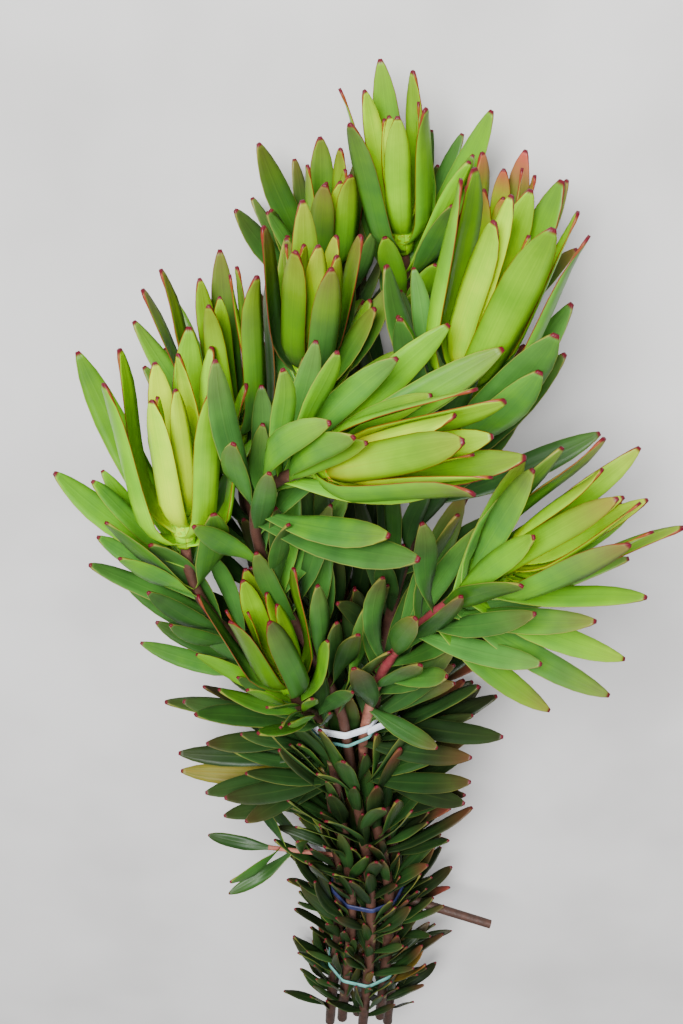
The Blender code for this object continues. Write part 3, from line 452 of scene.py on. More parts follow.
# %% Measured stems
class Stem:
    """A stem's centre line, measured from the head's base down, and its tube's joints."""

    def __init__(self, shoot):
        self.points, self.ways = stem_line(shoot)
        self.marks = [0.0]
        for a, b in zip(self.points, self.points[1:]):
            self.marks.append(self.marks[-1] + (b - a).length)
        self.length = self.marks[-1]
        self.joint_marks = stem_marks(self.length)
        self.joints = [self.at(mark)[0] for mark in self.joint_marks]

    def at(self, distance):
        """Point and upward direction on the smooth line, at a distance below the head."""
        i, share = span_share(self.marks, distance)
        point = mix(self.points[i], self.points[i + 1], share)
        way = mix(self.ways[i], self.ways[i + 1], share).normalized()
        return point, way

    def radius(self, distance):
        return mix(STEM_TOP_RADIUS, STEM_FOOT_RADIUS, smooth(distance / self.length))

    def axis(self, distance):
        """Point on the tube's own axis, which runs straight from joint to joint."""
        i, share = span_share(self.joint_marks, distance)
        return mix(self.joints[i], self.joints[i + 1], share)

    def passes(self, y):
        """Distance of the first measured point below a place along Y."""
        return next(mark for mark, point in zip(self.marks, self.points) if point.y < y)

    def crossing(self, y, fine=False):
        """Point and reach where the tube, or the fine rod, passes a plane of constant Y."""
        points, marks = (self.points, self.marks) if fine else (self.joints, self.joint_marks)
        for i, (a, b) in enumerate(zip(points, points[1:])):
            if (a.y - y) * (b.y - y) <= 0.0 and a.y != b.y:
                share = (a.y - y) / (a.y - b.y)
                mark = marks[i] if fine else mix(marks[i], marks[i + 1], share)
                radius = self.radius(mark) + (BARK_RIPPLE if fine else 0.0)
                return mix(a, b, share), radius / abs((b - a).normalized().y)
        return None


stems = {name: Stem(shoot) for name, shoot in SHOOTS.items()}
print("stems", {name: round(stem.length, 3) for name, stem in stems.items()})

# %% [markdown]
# ## How a blade grows
#
# A leaf leaves its stem at a steep angle and then turns to run beside it. So
# a blade is a short walk: at each step it turns a little towards its next
# angle, and near the floor it turns level, as a soft leaf does when it lies
# on something. The walk gives the blade's middle line, its width direction
# and its upper side.

# %% Outlines
def outline_share(u, outline):
    """Half-width share at u: a narrower base, then nearly even sides and a blunt point."""
    share = mix(outline["base"], 1.0, smooth(u / outline["swell"]))
    if u <= outline["taper"]:
        return share
    along = (u - outline["taper"]) / (1.0 - outline["taper"])
    return share * math.sqrt(max(0.0, 1.0 - along ** outline["power"]))


# %% Walking along a blade
STEEPEST = 0.99
TINY = 1e-6


def keep_above(way, height, low, step):
    """Bends a direction so that the next step stays above the surface."""
    limit = -((height - low) / FLOOR_EASE + FLOOR_SLOPE)
    limit = max(limit, (low - height) / step)
    if way.z >= limit:
        return way
    limit = min(limit, STEEPEST)
    flat = Vector((way.x, way.y, 0.0))
    flat.length = math.sqrt(1.0 - limit * limit)
    return Vector((flat.x, flat.y, limit))


def level_width(way, width, height, half_width, low):
    """Turns a blade's width towards level as far as the surface below asks for."""
    flat = Vector((-way.y, way.x, 0.0)).normalized()
    steep = way.cross(flat)
    across, up = width.dot(flat), width.dot(steep)
    most = max(0.0, (height - low) / max(half_width, TINY)) / max(abs(steep.z), TINY)
    if abs(up) > most:
        across = math.copysign(math.sqrt(max(0.0, 1.0 - most * most)), across)
        up = math.copysign(most, up)
    return (flat * across + steep * up).normalized()


def blade_line(root, along, out, blade):
    """Centre points, width and normal directions of a blade from root to tip."""
    length = blade["length"]
    step = length / BLADE_STEPS
    low = BLADE_THICKNESS / 2
    tangent = along.cross(out)
    place = root.copy()
    rows = []
    for i in range(BLADE_STEPS + 1):
        u = i / BLADE_STEPS
        angle = blend_keys(u, blade["angles"])
        way = along * math.cos(angle) + out * math.sin(angle)
        normal = along * math.sin(angle) - out * math.cos(angle)
        bend = blade["bend"] * u
        way, width = (
            way * math.cos(bend) + tangent * math.sin(bend),
            tangent * math.cos(bend) - way * math.sin(bend),
        )
        twist = blade["twist"] * smooth(u / TWIST_END)
        width = width * math.cos(twist) + normal * math.sin(twist)
        way = keep_above(way, place.z, low, step)
        width = (width - way * width.dot(way)).normalized()
        half_width = blade["width"] / 2 * outline_share(u, blade["outline"])
        width = level_width(way, width, place.z, half_width, low)
        rows.append((place.copy(), width, way.cross(width), half_width))
        place = place + way * step
    return rows


# %% A blade's plain plate
def blade_shape(rows, stations, extra=0.0, first=0):
    """Points and triangles of a plain plate with the blade's outline, to test what it touches."""
    half = BLADE_THICKNESS / 2 + extra
    points, faces = [], []
    for i in stations[first:-1]:
        place, _, _, half_width = rows[i]
        _, width, normal, _ = rows[max(i, stations[1])]
        side = width * (half_width + extra)
        lift = normal * half
        corners = ((-1, 1), (1, 1), (1, -1), (-1, -1))
        points += [place + side * across + lift * up for across, up in corners]
    place, width, normal, _ = rows[stations[-1]]
    points += [place + normal * half, place - normal * half]
    last = len(points) - 6
    faces += [(0, 1, 2), (0, 2, 3)]
    for a in range(0, last, 4):
        b = a + 4
        faces += [(a, b, b + 1), (a, b + 1, a + 1)]
        faces += [(a + 3, b + 2, b + 3), (a + 3, a + 2, b + 2)]
        faces += [(a + 1, b + 1, b + 2), (a + 1, b + 2, a + 2)]
        faces += [(a, a + 3, b + 3), (a, b + 3, b)]
    top, under = last + 4, last + 5
    faces += [(last, top, last + 1), (last + 3, last + 2, under)]
    faces += [(last + 1, top, under), (last + 1, under, last + 2)]
    faces += [(last, last + 3, under), (last, under, top)]
    return points, faces


# %% [markdown]
# ## Keeping the blades apart
#
# Real leaves push each other aside. A full simulation of that would be slow,
# so every new blade is tested against all that is there, and turned round its
# stem or tilted until it is clear.

# %% The thicket
def bounds(points):
    low = [min(point[k] for point in points) for k in range(3)]
    high = [max(point[k] for point in points) for k in range(3)]
    return low, high


class Thicket:
    """All that has been placed, asked whether the next blade is clear of it."""

    def __init__(self):
        self.items = []

    def add(self, node, points, faces, outer=None):
        tree = BVHTree.FromPolygons(points, faces)
        outer_tree = BVHTree.FromPolygons(*outer) if outer else None
        self.items.append((node, bounds(points), tree, outer_tree))

    def is_clear(self, node, points, faces, outer):
        low, high = bounds(points)
        tree = BVHTree.FromPolygons(points, faces)
        outer_tree = BVHTree.FromPolygons(*outer)
        for other, (other_low, other_high), other_tree, other_outer in self.items:
            if any(low[k] > other_high[k] or high[k] < other_low[k] for k in range(3)):
                continue
            if other != node:
                if tree.overlap(other_tree):
                    return False
            elif other_outer and outer_tree.overlap(other_outer):
                return False
        return True


AZIMUTH_TRIES = (0, 14, -14, 28, -28, 42, -42, 60, -60, 80, -80, 105, -105, 135, -135, 170)
TILT_TRIES = (0, 0, 0, 6, -6, 8, -8, 10, 10, -10, -10, 14, 14, -12, -12, 0)


def facing_turn(along, out, lean):
    """The turn about its own length, at most a quarter, that shows a blade's face to the light."""
    across = along.cross(out)
    normal = along * math.sin(lean) - out * math.cos(lean)
    turn = math.atan2(-across.dot(FACING), normal.dot(FACING))
    if abs(turn) > math.pi / 2:
        turn -= math.copysign(math.pi, turn)
    return turn


def place_blade(thicket, node, root, along, azimuth, blade, stations):
    """Adds a blade round a stem, turned and tilted until it is clear. None if it never is."""
    flat = along.orthogonal().normalized()
    for turn, tilt in zip(AZIMUTH_TRIES, TILT_TRIES):
        out = flat.copy()
        out.rotate(Matrix.Rotation(azimuth + math.radians(turn), 3, along))
        pressed = 1.0 - blade.get("press", 0.0) * max(0.0, out.z)
        tilted = dict(blade)
        tilted["angles"] = [(u, a * pressed + math.radians(tilt) * u) for u, a in blade["angles"]]
        lean = blend_keys(0.5, tilted["angles"])
        tilted["twist"] += blade.get("level", 0.0) * facing_turn(along, out, lean)
        rows = blade_line(root, along, out, tilted)
        wide = blade_shape(rows, stations, BLADE_MARGIN)
        outer = blade_shape(rows, stations, BLADE_MARGIN / 2, first=1)
        if thicket.is_clear(node, *wide, outer):
            thicket.add(node, *wide, outer=outer)
            return rows
    return None


# %% [markdown]
# ## What grows where
#
# Leaves and bracts sit round their stem at the golden angle, 137.5 degrees
# apart, as on most plants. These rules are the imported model's own, with the
# same seeds, so each of its blades comes out in its old place. Each blade
# also notes how old it is, which its colour follows later.

# %% Bracts of a head
BRACT_GROWTH = dict(length=1.6, width=1.5)


def head_bracts(shoot):
    """Yields root, direction, azimuth and blade for a head's bracts, inner ones first."""
    rng = random.Random(shoot["seed"])
    base, along = head_place(shoot)
    count = shoot["bracts"]
    start = rng.uniform(0.0, math.tau)
    for i in range(count):
        share = i / (count - 1)
        spread = shoot["open"] * mix(*BRACT_SPREAD, share)
        root = base + along * mix(*BRACT_ROOT, share)
        length = shoot["bract"] * mix(*BRACT_LENGTH, smooth(share * BRACT_GROWTH["length"]))
        width = shoot["wide"] * mix(*BRACT_WIDTH, smooth(share * BRACT_GROWTH["width"]))
        length *= rng.uniform(*BRACT_LENGTH_VARY)
        width *= rng.uniform(*BRACT_WIDTH_VARY)
        keys = [*BRACT_ANGLES, *((u, rng.uniform(*span)) for u, span in BRACT_TIP_ANGLES)]
        blade = new_blade(
            rng, BRACT_OUTLINE, length, width, keys, BRACT_BEND, BRACT_TWIST, spread, share=share
        )
        yield root, along, start + i * GOLDEN_ANGLE, blade


# %% Leaves of a stem
LEAF_SEED = 100
LOW_SHORTENS = 1.2
LOW_LEANS = 1.4


def stem_leaves(shoot, stem):
    """Yields distance, azimuth and blade for a stem's leaves, from the head down."""
    rng = random.Random(shoot["seed"] + LEAF_SEED)
    start = rng.uniform(0.0, math.tau)
    distance = LEAF_START
    tie_distance = stem.passes(WAIST.y)
    i = 0
    while distance < stem.length - BARE_FOOT:
        below = (distance - tie_distance) / (stem.length - tie_distance)
        near = smooth(1.0 - distance / NEAR_REACH)
        if below < 0:
            kind = {key: mix(FAR_LEAF[key], NEAR_LEAF[key], near) for key in FAR_LEAF}
            vary, press, level = UPPER_VARY, UP_PRESS[0], LEVEL[0]
            length, later = shoot["leaves"] * kind["length"], kind["later"]
        else:
            kind, vary, press, level = LOW_LEAF, LOWER_VARY, UP_PRESS[1], LEVEL[1]
            length = mix(*kind["length"], smooth(below * LOW_SHORTENS))
            later = mix(*kind["later"], smooth(below * LOW_LEANS))
        length *= rng.uniform(*vary["length"])
        width = length * rng.uniform(*vary["width"])
        first = kind["first"] + rng.uniform(*vary["first"])
        later += rng.uniform(*vary["later"])
        tip = later + rng.uniform(*TIP_VARY)
        keys = ((0.0, first), (0.25, mix(first, later, 0.6)), (0.6, later), (1.0, tip))
        blade = new_blade(
            rng, LEAF_OUTLINE, length, width, keys, LEAF_BEND, LEAF_TWIST,
            press=press, level=level, near=near, below=below,
        )
        azimuth = start + i * GOLDEN_ANGLE + math.radians(rng.uniform(*AZIMUTH_VARY))
        yield distance, azimuth, blade
        distance += kind["spacing"] * rng.uniform(*SPACING_VARY)
        i += 1


# %% Leaves that reach out of the bunch
OUTER_YOUNG_REACH = 0.075
OUTER_LEAST_YOUNG = 0.1
OUTER_BELOW = 0.3
ABOVE_TIE = -1.0


def outer_leaf(stem, y, way, length, wide=1.0):
    """Root, direction, azimuth and blade of a leaf that points a given way."""
    distance = stem.passes(y)
    along = stem.at(distance)[1]
    way = Vector(way).normalized()
    flat = along.orthogonal().normalized()
    out = (way - along * way.dot(along)).normalized()
    lean = way.angle(along)
    blade = dict(
        length=length,
        width=wide * (OUTER_WIDTH[0] + OUTER_WIDTH[1] * length),
        outline=LEAF_OUTLINE,
        angles=[(u, lean + math.radians(angle)) for u, angle in OUTER_ANGLES],
        bend=0.0,
        twist=0.0,
        level=LEVEL[0],
        near=max(OUTER_LEAST_YOUNG, 1.0 - distance / OUTER_YOUNG_REACH),
        below=ABOVE_TIE if y > WAIST.y else OUTER_BELOW,
    )
    azimuth = math.atan2(along.dot(flat.cross(out)), flat.dot(out))
    return stem.axis(distance), along, azimuth, blade


# %% Leaves of the young side shoot
def side_leaves(branch, root, way):
    """Yields root, direction, azimuth and blade for the leaves of the young side shoot."""
    rng = random.Random(branch["seed"])
    count = branch["leaves"]
    for i in range(count):
        share = i / (count - 1)
        place = root + way * branch["length"] * mix(*YOUNG_PLACE, share)
        angle = mix(*YOUNG_ANGLE, share)
        length = branch["leaf"] * rng.uniform(*YOUNG_LENGTH_VARY)
        width = branch["leaf"] * YOUNG_WIDTH
        keys = [(u, angle + YOUNG_CURVE[u]) for u in (0, 1)]
        blade = new_blade(
            rng, LEAF_OUTLINE, length, width, keys, YOUNG_BEND, YOUNG_TWIST,
            level=LEVEL[0], near=1.0, below=ABOVE_TIE,
        )
        yield place, way, i * GOLDEN_ANGLE, blade


# %% [markdown]
# ## What the blades grow round
#
# The stems, cones and ties come first, as plain shapes that the blades have
# to miss. A stem is a curve with a round bevel, a cone is a turned profile,
# and a tie is the tightest line round all the stems.

# %% Plain meshes
WELD = 0.00001


def new_object(name, mesh):
    obj = bpy.data.objects.new(name, mesh)
    bpy.context.scene.collection.objects.link(obj)
    return obj


def remove(obj):
    bpy.data.objects.remove(obj, do_unlink=True)


def applied_mesh(carrier):
    """The mesh that an object's modifiers leave. The object goes."""
    graph = bpy.context.evaluated_depsgraph_get()
    mesh = bpy.data.meshes.new_from_object(carrier.evaluated_get(graph))
    remove(carrier)
    return mesh


def welded(mesh):
    """A mesh with its doubles merged and its faces turned outwards."""
    shape = bmesh.new()
    shape.from_mesh(mesh)
    bmesh.ops.remove_doubles(shape, verts=shape.verts, dist=WELD)
    bmesh.ops.recalc_face_normals(shape, faces=shape.faces)
    shape.to_mesh(mesh)
    shape.free()
    return mesh


def points_and_faces(mesh):
    return [v.co.copy() for v in mesh.vertices], [tuple(p.vertices) for p in mesh.polygons]


def tube_mesh(points, radii, sides=6):
    """A closed tube along points."""
    curve = bpy.data.curves.new("tube", "CURVE")
    curve.dimensions = "3D"
    curve.bevel_depth = 1.0
    curve.bevel_resolution = (sides - 4) // 2
    curve.use_fill_caps = True
    spline = curve.splines.new("POLY")
    spline.points.add(len(points) - 1)
    for place, point, radius in zip(spline.points, points, radii):
        place.co = (*point, 1.0)
        place.radius = radius
    return welded(applied_mesh(new_object("tube", curve)))


def cone_mesh(base, along):
    """A head's cone on its receptacle: a turned profile, stood on the head's base."""
    profile = [(across * CONE_RADIUS, up * CONE_HEIGHT) for across, up in CONE_PROFILE]
    profile += [(STEM_TOP_RADIUS, GAP), (0.0, GAP)]
    mesh = bpy.data.meshes.new("cone")
    edges = [(i, i + 1) for i in range(len(profile) - 1)]
    mesh.from_pydata([(radius, 0.0, height) for radius, height in profile], edges, [])
    carrier = new_object("cone", mesh)
    screw = carrier.modifiers.new("turn", "SCREW")
    screw.steps = CONE_SIDES
    screw.render_steps = CONE_SIDES
    screw.use_merge_vertices = True
    screw.merge_threshold = WELD
    turned = applied_mesh(carrier)
    turned.transform(Matrix.Translation(base) @ along.to_track_quat("Z", "Y").to_matrix().to_4x4())
    return welded(turned)


# %% The line of a tie
STRAIGHT = 1e-10


def hull(points):
    """Convex outline of flat points, anticlockwise."""
    points = sorted(set(points))

    def half(ordered):
        line = []
        for p in ordered:
            while len(line) > 1:
                (ax, ay), (bx, by) = line[-2], line[-1]
                if (bx - ax) * (p[1] - ay) - (by - ay) * (p[0] - ax) > STRAIGHT:
                    break
                line.pop()
            line.append(p)
        return line[:-1]

    return half(points) + half(points[::-1])


def tie_outline(tie, sides=TIE_SIDES, fine=False):
    """The line that a tie takes round the stems that it holds, as X and Z."""
    reach = 1.0 / math.cos(math.pi / sides)
    around = []
    for stem in stems.values():
        for y in (tie["at"] - tie["width"] / 2, tie["at"] + tie["width"] / 2):
            point, radius = stem.crossing(y, fine)
            grown = (radius + GAP) * reach
            for k in range(sides):
                turn = math.tau * k / sides
                x, z = point.x + grown * math.cos(turn), point.z + grown * math.sin(turn)
                around.append((x, z))
    outline = hull(around)
    kept = [outline[0]]
    for p in outline[1:]:
        if min(math.dist(p, kept[-1]), math.dist(p, outline[0])) > TIE_CORNER:
            kept.append(p)
    return kept


def tie_mesh(outline, tie):
    """A flat tie: its line swept across its width, thickened outwards."""
    half = tie["width"] / 2
    count = len(outline)
    points = [(x, tie["at"] - half, z) for x, z in outline]
    points += [(x, tie["at"] + half, z) for x, z in outline]
    faces = [(i, i + count, (i + 1) % count + count, (i + 1) % count) for i in range(count)]
    mesh = bpy.data.meshes.new("tie")
    mesh.from_pydata(points, [], faces)
    band = new_object("tie", mesh)
    wall = band.modifiers.new("wall", "SOLIDIFY")
    wall.thickness = tie["thickness"]
    wall.offset = 1.0
    wall.use_even_offset = True
    return applied_mesh(band)


# %% The tail's places
def tie_size(tie):
    return tie["length"], tie["width"], tie["thickness"]


def bar_mesh(centre, along, up, length, width, thickness):
    """A flat bar with its length along one direction and its thickness along another."""
    mesh = bpy.data.meshes.new("bar")
    shape = bmesh.new()
    bmesh.ops.create_cube(shape, size=1.0)
    across = up.cross(along)
    turn = Matrix((along, across, up)).transposed().to_4x4()
    size = Matrix.Diagonal((length, width, thickness, 1.0))
    bmesh.ops.transform(shape, matrix=Matrix.Translation(centre) @ turn @ size, verts=shape.verts)
    shape.to_mesh(mesh)
    shape.free()
    return mesh


def tail_places(outline, tie):
    """Middle of the tail, middle of its dark end, and the tail's way and upper side."""
    angle = math.radians(TAIL["turn"])
    out = Vector((math.cos(angle), 0.0, math.sin(angle)))
    along = Vector((math.sin(angle), 0.0, -math.cos(angle)))
    x, z = max(outline, key=lambda p: p[0] * out.x + p[1] * out.z)
    top = tie["thickness"] + GAP + TAIL["thickness"] / 2
    start = Vector((x, tie["at"], z)) + out * top - along * TAIL["width"] / 2
    middle = start + along * TAIL["length"] / 2
    beyond = start + along * (TAIL["length"] + GAP + TAIL_END["length"] / 2)
    return middle, beyond, along, out


# %% Fill the thicket with them
thicket = Thicket()
for name, stem in stems.items():
    radii = [stem.radius(mark) + BLADE_MARGIN for mark in stem.joint_marks]
    thicket.add("leafy_stem_" + name, *points_and_faces(tube_mesh(stem.joints, radii)))
for name, shoot in SHOOTS.items():
    thicket.add("head_" + name, *points_and_faces(cone_mesh(*head_place(shoot))))
for name, tie in TIES.items():
    outline = tie_outline(tie)
    thicket.add(name, *points_and_faces(tie_mesh(outline, tie)))
    if name == "upper_tie":
        middle, beyond, *ways = tail_places(outline, tie)
        thicket.add("tie_tail", *points_and_faces(bar_mesh(middle, *ways, *tie_size(TAIL))))
        thicket.add("tie_end", *points_and_faces(bar_mesh(beyond, *ways, *tie_size(TAIL_END))))
print(len(thicket.items), "plain shapes to grow round")

# %% [markdown]
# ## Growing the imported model's blades again
#
# The order matters, because each blade is turned away from those before it:
# all bracts first, then the side branches, then the leaves, with the stems
# taking turns.

# %% Grow bracts, branches and leaves
grown = {}


def grow(node, root, along, azimuth, blade, stations):
    """Places a blade and notes it for its node, if there is room."""
    rows = place_blade(thicket, node, root, along, azimuth, blade, stations)
    if rows:
        grown.setdefault(node, []).append((rows, blade))
    return bool(rows)


for name, shoot in SHOOTS.items():
    for growth in head_bracts(shoot):
        grow("head_" + name, *growth, BRACT_STATIONS)

twigs = {}
for branch in (CUT_BRANCH, SIDE_SHOOT):
    name = branch["stem"]
    root = stems[name].crossing(branch["y"])[0]
    way = Vector(branch["way"]).normalized()
    ends = [root, root + way * branch["length"]]
    radii = [branch["radius"], branch["radius"] * TWIG_TAPER]
    thicket.add("leafy_stem_" + name, *points_and_faces(tube_mesh(ends, radii)))
    twigs.setdefault(name, []).append((ends, radii))
    for growth in side_leaves(branch, root, way):
        grow("leafy_stem_" + name, *growth, LEAF_STATIONS)

placed = 0
for name, leaves in OUTER_LEAVES:
    for growth in leaves:
        placed += grow("leafy_stem_" + name, *outer_leaf(stems[name], *growth), LEAF_STATIONS)
print(placed, "leaves that reach out or lie on top")

corners = [
    Vector((x, y, z)) for z, near, far in CLEAR_SPANS for y in (near, far) for x in CLEAR_ACROSS
]
walls = [(0, 2, 3, 1), (4, 5, 7, 6), (0, 1, 5, 4), (2, 6, 7, 3), (0, 4, 6, 2), (1, 3, 7, 5)]
thicket.add("clear space", corners, walls)


def grow_in_turns(plans):
    """Grows each stem's leaves, the stems taking turns. Returns how many found room."""
    found = 0
    for i in range(max(len(plan) for plan in plans.values())):
        for name, plan in plans.items():
            if i < len(plan):
                distance, azimuth, blade = plan[i]
                blade["distance"] = distance
                root = stems[name].axis(distance)
                along = stems[name].at(distance)[1]
                found += grow("leafy_stem_" + name, root, along, azimuth, blade, LEAF_STATIONS)
    return found


grow_in_turns({name: list(stem_leaves(SHOOTS[name], stem)) for name, stem in stems.items()})
print(sum(len(blades) for blades in grown.values()), "blades where the packed model has them")

# %% [markdown]
# ## More leaves in between
#
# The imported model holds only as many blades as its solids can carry. The real
# stems are leafier: young bracts close each cup like a bud, leaves crowd round
# its lower half, and the stems below the tie are hidden in small dark leaves.
# The same rules go on here with other seeds, and each new blade still has to
# find room.

# %% Young bracts that close the cups
BUD_BRACTS = 3
BUD_SEED = 200
BUD_ANGLES = ((0.0, 62), (0.16, 34), (0.34, 4), (0.72, -7), (1.0, -3))
BUD_ROOT = (0.0150, 0.0125)
BUD_SPREAD = (0.50, 0.64)
BUD_LENGTH = (0.62, 0.84)
BUD_WIDTH = (0.0070, 0.0095)
BUD_LENGTH_VARY = (0.94, 1.05)
BUD_BEND = 6
BUD_TWIST = 10
YOUNGER = -0.4


def bud_bracts(shoot):
    """Yields root, direction, azimuth and blade for the narrow bracts inside a cup."""
    rng = random.Random(shoot["seed"] + BUD_SEED)
    base, along = head_place(shoot)
    start = rng.uniform(0.0, math.tau)
    for i in range(BUD_BRACTS):
        share = i / (BUD_BRACTS - 1)
        spread = mix(*BUD_SPREAD, share) * shoot["open"]
        length = shoot["bract"] * mix(*BUD_LENGTH, share) * rng.uniform(*BUD_LENGTH_VARY)
        width = mix(*BUD_WIDTH, share) * rng.uniform(*BRACT_WIDTH_VARY)
        blade = new_blade(
            rng, BRACT_OUTLINE, length, width, BUD_ANGLES, BUD_BEND, BUD_TWIST, spread,
            share=YOUNGER,
        )
        yield base + along * mix(*BUD_ROOT, share), along, start + i * GOLDEN_ANGLE, blade


added = 0
for name, shoot in SHOOTS.items():
    for growth in bud_bracts(shoot):
        added += grow("head_" + name, *growth, BRACT_STATIONS)
print(added, "bud bracts added")

# %% Rules for more leaves
FILL_SEED = 1000
FILL_SHIFT = 0.0013
FILL_SIZE = dict(length=0.95, width=0.97)

LOW_SEED = 5000
LOW_ABOVE_TIE = 0.008
LOW_LENGTH = (0.066, 0.033)
LOW_LENGTH_VARY = (0.60, 1.20)
LOW_WIDTH = (0.14, 0.18)
LOW_ANGLES = (14, 66)
LOW_CURVE = ((0.0, 18), (0.3, 4))
LOW_TIP = 16
LOW_AZIMUTH = 0.5
LOW_SPACING = 0.0048
LOW_SPACING_VARY = (0.5, 1.5)
LOW_SHRINKS = 1.3


def fill_leaves(shoot, stem):
    """Yields the leaves of a second pass down a stem, a little smaller than the first ones."""
    for distance, azimuth, blade in stem_leaves(dict(shoot, seed=shoot["seed"] + FILL_SEED), stem):
        for key, share in FILL_SIZE.items():
            blade[key] *= share
        yield distance + FILL_SHIFT, azimuth, blade


def low_leaves(shoot, stem):
    """Yields the many small leaves from the tie down, at all angles."""
    rng = random.Random(shoot["seed"] + LOW_SEED)
    start = rng.uniform(0.0, math.tau)
    distance = stem.passes(WAIST.y + LOW_ABOVE_TIE)
    end = stem.length - BARE_FOOT
    span = end - distance
    i = 0
    while distance < end:
        below = 1.0 - (end - distance) / span
        length = mix(*LOW_LENGTH, smooth(below * LOW_SHRINKS)) * rng.uniform(*LOW_LENGTH_VARY)
        later = rng.uniform(*LOW_ANGLES)
        width = length * rng.uniform(*LOW_WIDTH)
        keys = [(u, later + angle) for u, angle in LOW_CURVE]
        keys.append((1.0, later + rng.uniform(-LOW_TIP, LOW_TIP)))
        blade = new_blade(
            rng, LEAF_OUTLINE, length, width, keys, LEAF_BEND, LEAF_TWIST,
            press=UP_PRESS[1], level=LEVEL[1], near=0.0, below=max(0.0, below),
        )
        azimuth = start + i * GOLDEN_ANGLE + rng.uniform(-LOW_AZIMUTH, LOW_AZIMUTH)
        yield distance, azimuth, blade
        distance += LOW_SPACING * rng.uniform(*LOW_SPACING_VARY)
        i += 1


# %% Grow more leaves
for rule, label in ((fill_leaves, "leaves added"), (low_leaves, "small leaves added below the tie")):
    plans = {name: list(rule(SHOOTS[name], stem)) for name, stem in stems.items()}
    print(grow_in_turns(plans), label)

# %% [markdown]
# ## One blank leaf and one blank bract
#
# All leaves share one shape, so it is modelled once, flat and one unit long,
# and every leaf is a bent copy of it. A grid is the start. In edit mode its
# rows are moved closer together at both ends and scaled to the outline, and
# a Solidify modifier whose strength is painted on the points makes it thick
# along the middle, thin at the margins and thickest in the small callus at
# the tip. There are hundreds of leaves, so each has few faces.

# %% Blank blades
BLANK_COLUMNS = 4
LEAF_ROWS = (0.0, 0.08, 0.18, 0.30, 0.43, 0.57, 0.70, 0.81, 0.90, 0.965, 1.0)
BRACT_ROWS = (0.0, 0.06, 0.13, 0.21, 0.30, 0.40, 0.51, 0.62, 0.73, 0.83, 0.91, 0.965, 1.0)
FINE_LEAF = dict(base=0.34, swell=0.46, taper=0.58, blunt=0.65)
FINE_BRACT = dict(base=0.66, swell=0.28, taper=0.62, blunt=0.66)
FINE_POWER = 2.2
MOST_THICKNESS = 0.0011
MIDDLE_THICKNESS = 0.66
MARGIN_THICKNESS = 0.30
CALLUS_START = 0.93
TIP_WIDTH = 0.13


def fine_share(u, outline):
    """Half-width share of a fine blade, blunter at its tip than the plain one."""
    share = mix(outline["base"], 1.0, smooth(u / outline["swell"]))
    if u > outline["taper"]:
        along = (u - outline["taper"]) / (1.0 - outline["taper"])
        share *= max(0.0, 1.0 - along ** FINE_POWER) ** outline["blunt"]
    return max(share, TIP_WIDTH)


def select_where(obj, kind, test):
    """In edit mode, selects the points ("verts") or "edges" that pass a test."""
    shape = bmesh.from_edit_mesh(obj.data)
    for part in getattr(shape, kind):
        part.select_set(test(part))
    shape.select_flush_mode()
    bmesh.update_edit_mesh(obj.data)


def apply_modifier(obj, kind, **settings):
    """Gives the active object a modifier with these settings and applies it."""
    modifier = obj.modifiers.new(kind, kind)
    for key, value in settings.items():
        setattr(modifier, key, value)
    bpy.ops.object.modifier_apply(modifier=modifier.name)


def blank_blade(name, outline, rows):
    """A flat blade along Y from 0 to 1, with half-width 1 and its real thickness."""
    select_only()
    last = len(rows) - 1
    in_row = BLANK_COLUMNS + 1
    bpy.ops.mesh.primitive_grid_add(
        x_subdivisions=BLANK_COLUMNS, y_subdivisions=last, size=2.0, calc_uvs=True
    )
    blank = bpy.context.object
    blank.name = name
    bpy.ops.object.mode_set(mode="EDIT")
    bpy.ops.mesh.select_mode(type="VERT")
    for row, wanted in enumerate(rows):
        select_where(blank, "verts", lambda vert: vert.index // in_row == row)
        bpy.ops.transform.resize(value=(fine_share(wanted, outline), 1.0, 1.0))
        bpy.ops.transform.translate(value=(0.0, wanted - (2.0 * row / last - 1.0), 0.0))
    bpy.ops.object.mode_set(mode="OBJECT")
    body = blank.vertex_groups.new(name="body")
    for vert in blank.data.vertices:
        edge = abs(2.0 * (vert.index % in_row) / BLANK_COLUMNS - 1.0)
        weight = mix(MIDDLE_THICKNESS, MARGIN_THICKNESS, edge * edge)
        callus = smooth((vert.co.y - CALLUS_START) / (1.0 - CALLUS_START) * 2.0)
        body.add([vert.index], mix(weight, 1.0, callus), "REPLACE")
    apply_modifier(blank, "SOLIDIFY", thickness=MOST_THICKNESS, offset=0.0, vertex_group="body")
    blank.vertex_groups.clear()
    blank.data.uv_layers[0].name = "blade"
    bpy.ops.object.shade_smooth()
    print(name, len(blank.data.vertices), "points,", len(blank.data.polygons), "faces")
    return blank


blank_leaf = blank_blade("blank_leaf", FINE_LEAF, LEAF_ROWS)
blank_bract = blank_blade("blank_bract", FINE_BRACT, BRACT_ROWS)

# %% [markdown]
# ## Bending the blanks
#
# A copy of the blank is laid along the rows that its walk gave. Across its
# width it is rolled into an arc: a bract curls round its cone, most at the
# base, and a leaf is a shallow gutter. A Curve modifier could bend it along
# its length, but not turn its width level where it meets the floor, so its
# points are placed by the rows themselves.

# %% Bent copies
FLOOR_TOUCH = 0.0003
PRESSED = 0.05
CURL_SETTLES = 1.4
WAVES = 7.0


def read_points(mesh):
    values = np.empty(len(mesh.vertices) * 3, np.float32)
    mesh.vertices.foreach_get("co", values)
    return values.reshape(-1, 3).astype(float)


